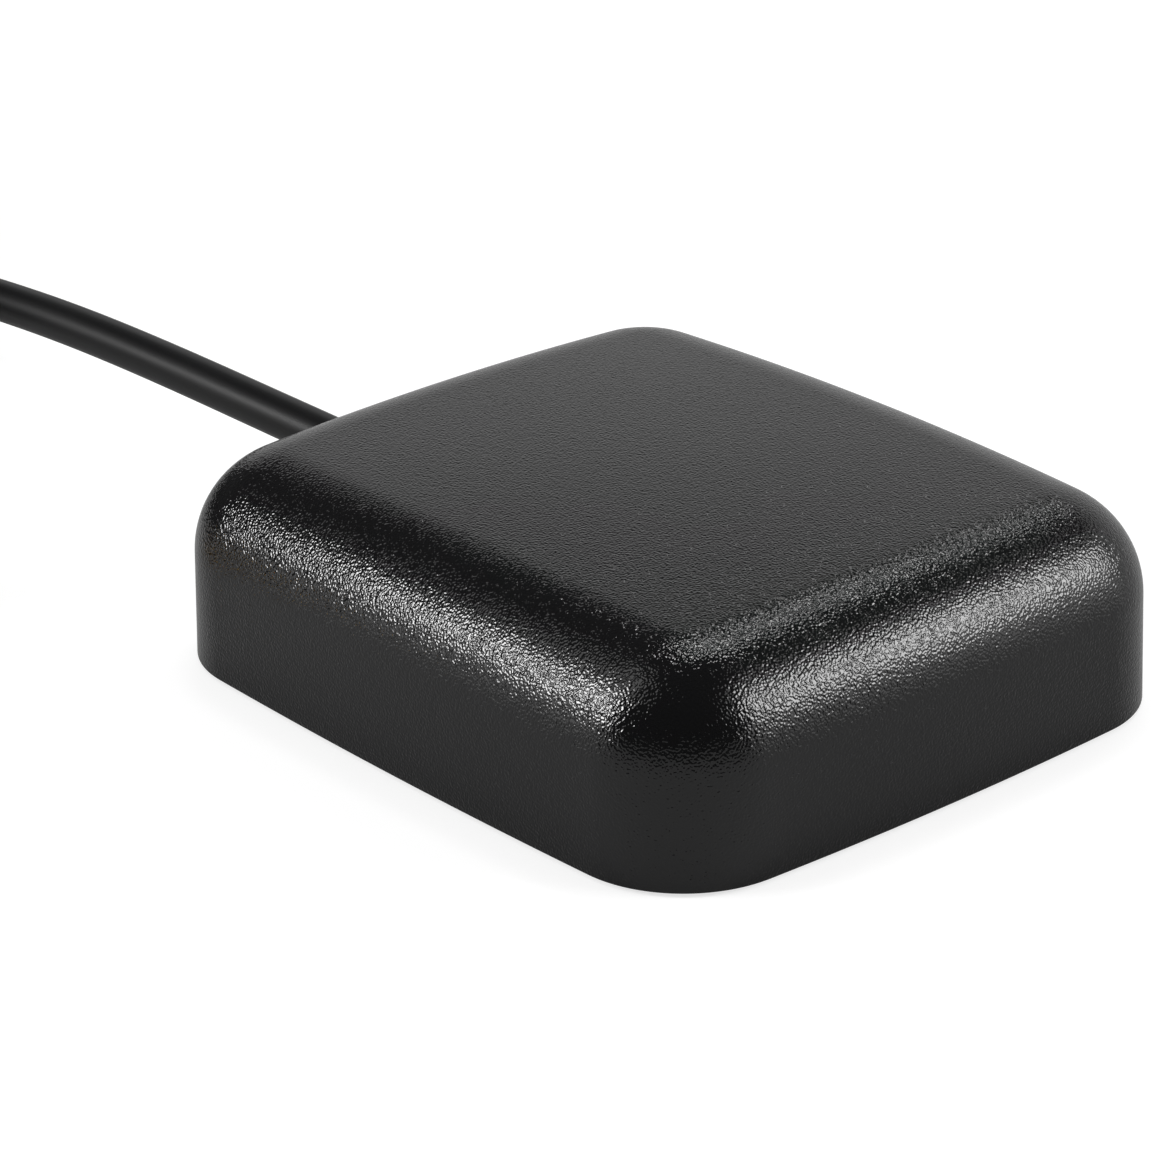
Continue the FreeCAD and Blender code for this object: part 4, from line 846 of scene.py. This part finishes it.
def winding_tree(name, profile_kind):
    """A nodes tree that sweeps a wire, or a thread's ridge that points inwards, along a right-handed helix
    about Z. Its inputs name its sizes: the section is the wire's radius or the ridge's height."""
    tree = bpy.data.node_groups.new(name, "GeometryNodeTree")
    for size in ("Radius", "Pitch", "Turns", "Section"):
        tree.interface.new_socket(size, in_out="INPUT", socket_type="NodeSocketFloat")
    tree.interface.new_socket("Finish", in_out="INPUT", socket_type="NodeSocketMaterial")
    tree.interface.new_socket("Geometry", in_out="OUTPUT", socket_type="NodeSocketGeometry")
    given = add_node(tree, "NodeGroupInput").outputs
    length = add_node(tree, "ShaderNodeMath", {
        0: given["Pitch"], 1: given["Turns"]}, operation="MULTIPLY")
    helix = add_node(tree, "GeometryNodeCurveSpiral", {
        "Resolution": HELIX_STEPS, "Rotations": given["Turns"], "Start Radius": given["Radius"],
        "End Radius": given["Radius"], "Height": length.outputs[0], "Reverse": True})
    upright = add_node(tree, "GeometryNodeSetCurveNormal", {
        "Curve": helix.outputs["Curve"]}, mode="Z_UP")
    if profile_kind == "ridge":
        inwards = add_node(tree, "ShaderNodeMath", {0: given["Section"], 1: -1.0}, operation="MULTIPLY")
        crest = inwards.outputs[0]
        corners = ((-RIDGE_FOOT, 0.0), (-RIDGE_CREST, crest), (RIDGE_CREST, crest), (RIDGE_FOOT, 0.0))
        points = {}
        for place, (share, height) in enumerate(corners, 1):
            across = add_node(tree, "ShaderNodeMath", {
                0: given["Pitch"], 1: share}, operation="MULTIPLY")
            corner = add_node(tree, "ShaderNodeCombineXYZ", {"X": height, "Y": across.outputs[0]})
            points["Point %d" % place] = corner.outputs[0]
        profile = add_node(tree, "GeometryNodeCurvePrimitiveQuadrilateral", points, mode="POINTS")
    else:
        profile = add_node(tree, "GeometryNodeCurvePrimitiveCircle", {
            "Resolution": WIRE_SIDES, "Radius": given["Section"]})
    swept = add_node(tree, "GeometryNodeCurveToMesh", {
        "Curve": upright.outputs["Curve"], "Profile Curve": profile.outputs["Curve"], "Fill Caps": True})
    real = add_node(tree, "GeometryNodeRealizeInstances", {"Geometry": swept.outputs["Mesh"]})
    finished = add_node(tree, "GeometryNodeSetMaterial", {
        "Geometry": real.outputs["Geometry"], "Material": given["Finish"]})
    add_node(tree, "NodeGroupOutput", {"Geometry": finished.outputs["Geometry"]})
    return tree


def wound(tree, sizes, place):
    """The plain mesh that a winding tree makes from its named sizes, moved to its place."""
    holder = keep("winding", bpy.data.meshes.new("winding"))
    winding = holder.modifiers.new("winding", "NODES")
    winding.node_group = tree
    for socket in tree.interface.items_tree:
        if socket.in_out == "INPUT":
            winding[socket.identifier] = sizes[socket.name]
    evaluated = holder.evaluated_get(bpy.context.evaluated_depsgraph_get())
    mesh = bpy.data.meshes.new_from_object(evaluated)
    holder.modifiers.clear()
    bpy.data.objects.remove(holder)
    mesh.transform(place)
    return mesh


def joined(name, meshes, finish):
    """One piece from several meshes, with one finish."""
    whole = bmesh.new()
    for mesh in meshes:
        whole.from_mesh(mesh)
    bmesh.ops.recalc_face_normals(whole, faces=whole.faces)
    for face in whole.faces:
        face.material_index = 0
    data = mesh_data(name, whole)
    data.materials.append(finish)
    return keep(name, data)


# Coupling nut
def nut_outline(depth):
    """The nut's outline at a depth from its nearer face: a hexagon cut by the chamfer's cone."""
    cone = NUT_FACE_RADIUS + depth / math.tan(NUT_SLOPE)
    return lambda angle: min(hexagon_reach(NUT_APOTHEM, angle), cone)


chamfer = [CHAMFER_DEPTH * step / CHAMFER_STEPS for step in range(CHAMFER_STEPS + 1)]
nut_outside = [(NUT_FRONT + depth, nut_outline(depth)) for depth in chamfer]
nut_outside += [(NUT_BACK - depth, nut_outline(depth)) for depth in reversed(chamfer)]
# The wall between the thread's turns stands inside the ridge's foot, so that the ridge grows out of it
thread_wall = THREAD_ROOT - THREAD_ROOTING
nut_inside = [(NUT_BACK, NUT_BORE + BORE_CHAMFER), (NUT_BACK - BORE_CHAMFER, NUT_BORE),
              (RING_GROOVE_END, NUT_BORE), (RING_GROOVE_END, RING_GROOVE),
              (RING_GROOVE_START, RING_GROOVE), (RING_GROOVE_START, NUT_BORE),
              (THREAD_END, NUT_BORE), (THREAD_END, thread_wall),
              (THREAD_START, thread_wall), (NUT_FRONT, THREAD_MOUTH)]
nut_rings = [ring_about(PLUG_X, PLUG_Z, y, reach, NUT_SIDES) for y, reach in nut_outside + nut_inside]
along_y = Matrix.Rotation(-math.pi / 2, 4, "X")
thread_sizes = {"Radius": THREAD_ROOT, "Pitch": THREAD_PITCH, "Turns": THREAD_TURNS,
                "Section": THREAD_ROOT - THREAD_CREST, "Finish": GILT}
thread = wound(winding_tree("screw thread", "ridge"), thread_sizes,
               Matrix.Translation((PLUG_X, THREAD_START + THREAD_SETBACK, PLUG_Z)) @ along_y)
nut = joined("threaded_nut", [skin_mesh("nut", nut_rings, closed=True), thread], GILT)
smooth(nut, CRISP_NUT_EDGE)
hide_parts("coupling_nut")
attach(nut, "coupling_nut")


# Crimped ferrule and the sleeve shrunk over it
def eased(share):
    """A share held between 0 and 1 that starts and ends gently."""
    held = min(max(share, 0), 1)
    return held * held * (3 - 2 * held)


def crimp_share(y):
    """How far the jaws of the crimping tool pressed in at a place along the ferrule, from 0 to 1."""
    return eased(min(y - CRIMP_START, CRIMP_END - y) / CRIMP_BLEND)


def crimped(radius, apothem, share):
    """A round outline pressed part of the way to a hexagon no wider than it."""
    return lambda angle: radius + (min(hexagon_reach(apothem, angle), radius) - radius) * share


def stations(start, end, spacing):
    """Even places from start to end, both included."""
    steps = round((end - start) / spacing)
    return [start + (end - start) * step / steps for step in range(steps + 1)]


ferrule_rings = [ring_about(PLUG_X, PLUG_Z, FERRULE_FRONT, FERRULE_RADIUS - FERRULE_EDGE)]
for y in stations(FERRULE_FRONT + FERRULE_EDGE, FERRULE_BACK - FERRULE_EDGE, TURNED_SPACING):
    pressed = crimped(FERRULE_RADIUS, CRIMP_APOTHEM, crimp_share(y))
    ferrule_rings.append(ring_about(PLUG_X, PLUG_Z, y, pressed))
ferrule_rings.append(ring_about(PLUG_X, PLUG_Z, FERRULE_BACK, FERRULE_RADIUS - FERRULE_EDGE))
ferrule_rings += [ring_about(PLUG_X, PLUG_Z, y, LEAD_BORE) for y in (FERRULE_BACK, FERRULE_FRONT)]
ferrule = joined("crimped_ferrule", [skin_mesh("ferrule", ferrule_rings, closed=True)], GILT)
smooth(ferrule)
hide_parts("crimp_ferrule")
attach(ferrule, "antenna")


def sleeve_outline(y):
    """The sleeve's outline: drawn in over the crimp, then necking down to the lead behind the ferrule."""
    fallen = eased((y - FERRULE_BACK) / (SLEEVE_STEP_END - FERRULE_BACK))
    radius = SLEEVE_RADIUS + (SLEEVE_SHRUNK_RADIUS - SLEEVE_RADIUS) * fallen
    return crimped(radius, SLEEVE_CRIMP_APOTHEM, crimp_share(y) * SLEEVE_FOLLOWS_CRIMP)


sleeve_rings = [ring_about(PLUG_X, PLUG_Z, SLEEVE_FRONT, SLEEVE_RADIUS - SLEEVE_EDGE)]
for y in stations(SLEEVE_FRONT + SLEEVE_EDGE, SLEEVE_BACK - SLEEVE_EDGE, TURNED_SPACING):
    sleeve_rings.append(ring_about(PLUG_X, PLUG_Z, y, sleeve_outline(y)))
sleeve_rings.append(ring_about(PLUG_X, PLUG_Z, SLEEVE_BACK, SLEEVE_SHRUNK_RADIUS - SLEEVE_EDGE))
for y, radius in ((SLEEVE_BACK, LEAD_BORE), (FERRULE_BACK + FERRULE_EDGE, LEAD_BORE),
                  (FERRULE_BACK + FERRULE_EDGE, SLEEVE_BORE), (SLEEVE_FRONT, SLEEVE_BORE)):
    sleeve_rings.append(ring_about(PLUG_X, PLUG_Z, y, radius))
sleeve = joined("shrunk_sleeve", [skin_mesh("sleeve", sleeve_rings, closed=True)], SHRINK_TUBE)
smooth(sleeve)
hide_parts("heat_shrink_sleeve")
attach(sleeve, "antenna")


# Grommet with flex grooves
def boot_radius(y):
    """The tapered boot's radius at a place along it."""
    share = (y - GROMMET_BOOT_START) / (GROMMET_TIP - GROMMET_BOOT_START)
    return GROMMET_FLANGE + (GROMMET_NECK - GROMMET_FLANGE) * share


softened_flange = GROMMET_FLANGE - GROMMET_EDGE
grommet_outline = [(GROMMET_INNER_END, softened_flange),
                   (GROMMET_INNER_END + GROMMET_EDGE, GROMMET_FLANGE),
                   (GROMMET_WALL_START - GROMMET_EDGE, GROMMET_FLANGE),
                   (GROMMET_WALL_START, softened_flange), (GROMMET_WALL_START, GROMMET_NECK),
                   (GROMMET_WALL_END, GROMMET_NECK), (GROMMET_WALL_END, softened_flange),
                   (GROMMET_WALL_END + GROMMET_EDGE, GROMMET_FLANGE),
                   (GROMMET_BOOT_START, GROMMET_FLANGE)]
for groove in range(FLEX_GROOVES):
    middle = FLEX_FIRST + groove * FLEX_PITCH
    for side, depth in FLEX_PROFILE:
        y = middle + side * FLEX_HALF_WIDTH
        grommet_outline.append((y, boot_radius(y) - depth * FLEX_DEPTH))
grommet_outline += [(GROMMET_TIP - GROMMET_EDGE, boot_radius(GROMMET_TIP)),
                    (GROMMET_TIP, GROMMET_NECK - GROMMET_EDGE),
                    (GROMMET_TIP, LEAD_BORE), (GROMMET_INNER_END, LEAD_BORE)]
grommet_rings = [ring_about(0.0, LEAD_HEIGHT, y, radius) for y, radius in grommet_outline]
grommet = joined("grommet_boot", [skin_mesh("grommet", grommet_rings, closed=True)], SILICONE)
smooth(grommet, CRISP_GROMMET_EDGE)
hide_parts("grommet")
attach(grommet, "antenna")


# Twist tie
def tie_path():
    """The strap's inner line round the bundle: points given by their reach and height, each with its way
    out of the bundle."""
    path = []
    for quarter, (side, top) in enumerate(((1, 1), (-1, 1), (-1, -1), (1, -1))):
        middle = Vector((side * (TIE_HALF_REACH - TIE_CORNER), top * (TIE_HALF_HEIGHT - TIE_CORNER)))
        for step in range(TIE_CORNER_STEPS + 1):
            turn = math.pi / 2 * (quarter + step / TIE_CORNER_STEPS)
            out = Vector((math.cos(turn), math.sin(turn)))
            path.append((middle + out * TIE_CORNER, out))
    return path


def tie_section():
    """The strap's thickness at steps across it: flat wings that thicken over the wire in the middle."""
    section = []
    for step in range(TIE_SECTION_STEPS + 1):
        across = -math.cos(math.pi * step / TIE_SECTION_STEPS)
        wing = TIE_WING * math.sqrt(1 - across ** TIE_WING_SQUARENESS)
        wire = (TIE_THICKNESS - TIE_WING) * math.exp(-(across * TIE_HALF_WIDTH / TIE_WIRE) ** 2)
        section.append((across * TIE_HALF_WIDTH, wing + wire))
    return section


outwards = Vector((math.cos(TIE_ANGLE), math.sin(TIE_ANGLE), 0))
along = Vector((-math.sin(TIE_ANGLE), math.cos(TIE_ANGLE), 0))
coil_middle = Vector((COIL_X, COIL_Y, 0))
strap_rings = []
for (reach, level), (out_reach, out_level) in tie_path():
    ring = []
    for across, thick in tie_section():
        ring.append(coil_middle + outwards * (TIE_MIDDLE + reach + out_reach * thick) + along * across
                    + Vector((0, 0, TIE_LEVEL + level + out_level * thick)))
    strap_rings.append(ring)
tail_start = coil_middle + outwards * TAIL_REACH + Vector((0, 0, TAIL_LEVEL))
tail_turn = along.to_track_quat("Z", "Y").to_matrix().to_4x4()
tail_tree = winding_tree("twisted wire", "wire")
tail_sizes = {"Radius": TAIL_RADIUS, "Pitch": TAIL_PITCH, "Turns": TAIL_TURNS, "Section": TAIL_WIRE,
              "Finish": TIE_PVC}
tail_place = Matrix.Translation(tail_start) @ tail_turn
tails = [wound(tail_tree, tail_sizes, tail_place @ Matrix.Rotation(turn, 4, "Z")) for turn in (0, math.pi)]
tie = joined("twist_tie", [skin_mesh("strap", strap_rings, closed=True)] + tails, TIE_PVC)
smooth(tie)
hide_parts("coil_tie")
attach(tie, "antenna")


# Floor and light
FLOOR_PAPER = "#a9a9a9"
CAMERA_GLOW = 0.72
MIRRORED_GLOW = 0.05
ROOM_GLOW = 0.06
FLOOR_REACH = 4.0

# The floor: pale paper that the camera sees lit up to near white
floor_material = bpy.data.materials.new("white studio floor")
floor_material.use_nodes = True
tree = floor_material.node_tree
tree.nodes.clear()
rays = add_node(tree, "ShaderNodeLightPath")
mirrored = add_node(tree, "ShaderNodeMath", {
    0: rays.outputs["Is Glossy Ray"], 1: rays.outputs["Is Transmission Ray"]}, operation="MAXIMUM")
mirrored_glow = add_node(tree, "ShaderNodeMath", {
    0: mirrored.outputs[0], 1: MIRRORED_GLOW}, operation="MULTIPLY")
glow = add_node(tree, "ShaderNodeMath", {
    0: rays.outputs["Is Camera Ray"], 1: CAMERA_GLOW, 2: mirrored_glow.outputs[0]},
    operation="MULTIPLY_ADD")
paper = add_node(tree, "ShaderNodeBsdfDiffuse", {"Color": linear(FLOOR_PAPER)})
shine = add_node(tree, "ShaderNodeEmission", {"Color": linear("#ffffff"), "Strength": glow.outputs[0]})
lit = add_node(tree, "ShaderNodeAddShader", {0: paper.outputs[0], 1: shine.outputs[0]})
add_node(tree, "ShaderNodeOutputMaterial", {"Surface": lit.outputs[0]})

floor_mesh = bpy.data.meshes.new("floor")
floor_mesh.from_pydata([(-FLOOR_REACH, -FLOOR_REACH, 0), (FLOOR_REACH, -FLOOR_REACH, 0),
                        (FLOOR_REACH, FLOOR_REACH, 0), (-FLOOR_REACH, FLOOR_REACH, 0)], [], [(0, 1, 2, 3)])
floor_mesh.materials.append(floor_material)
floor = keep("floor", floor_mesh)

# The room: white where the camera looks past the floor, and nearly dark to everything else
world = bpy.data.worlds.new("studio")
bpy.context.scene.world = world
world.use_nodes = True
tree = world.node_tree
tree.nodes.clear()
rays = add_node(tree, "ShaderNodeLightPath")
room = add_node(tree, "ShaderNodeBackground", {"Color": linear("#ffffff"), "Strength": ROOM_GLOW})
white = add_node(tree, "ShaderNodeBackground", {"Color": linear("#ffffff"), "Strength": 1.0})
both = add_node(tree, "ShaderNodeMixShader", {
    "Fac": rays.outputs["Is Camera Ray"], 1: room.outputs[0], 2: white.outputs[0]})
add_node(tree, "ShaderNodeOutputWorld", {"Surface": both.outputs[0]})


# Each lamp's compass angle from +Y towards +X and its angle above the floor, both in degrees, then its
# distance, width and height in metres, and its radiance. Soft boxes make the highlights, halos their haze.
LAMPS = {
    "left_softbox": (-52, 25, 1.0, 0.34, 0.22, 18.5),
    "left_halo": (-52, 31, 1.05, 0.5, 1.3, 1.3),
    "right_softbox": (136, 27, 1.0, 0.46, 0.3, 9.8),
    "right_halo": (136, 24, 1.05, 0.8, 0.95, 1.2),
    "backdrop": (66, 15, 1.6, 3.4, 1.2, 0.45),
    "top_softbox": (46, 67, 1.2, 0.2, 0.16, 13.0),
    "rear_softbox": (69, 53, 1.2, 0.28, 0.18, 8.0),
    "overhead_fill": (0, 88, 1.5, 1.2, 1.2, 1.6),
}


def soft_lamp(name, compass, height, distance, width, tall, radiance):
    """A soft lamp that faces the puck and that the camera doesn't see."""
    lamp = bpy.data.lights.new(name, "AREA")
    lamp.shape = "RECTANGLE"
    lamp.size, lamp.size_y = width, tall
    lamp.energy = radiance * math.pi * width * tall
    held = keep(name, lamp)
    turn, rise = math.radians(compass), math.radians(height)
    spot = Vector((math.sin(turn) * math.cos(rise), math.cos(turn) * math.cos(rise), math.sin(rise)))
    held.matrix_world = (Matrix.Translation(spot * distance)
                         @ spot.to_track_quat("Z", "Y").to_matrix().to_4x4())
    held.visible_camera = False


for lamp_name, setting in LAMPS.items():
    soft_lamp(lamp_name, *setting)
bpy.data.objects["overhead_fill"].visible_glossy = False
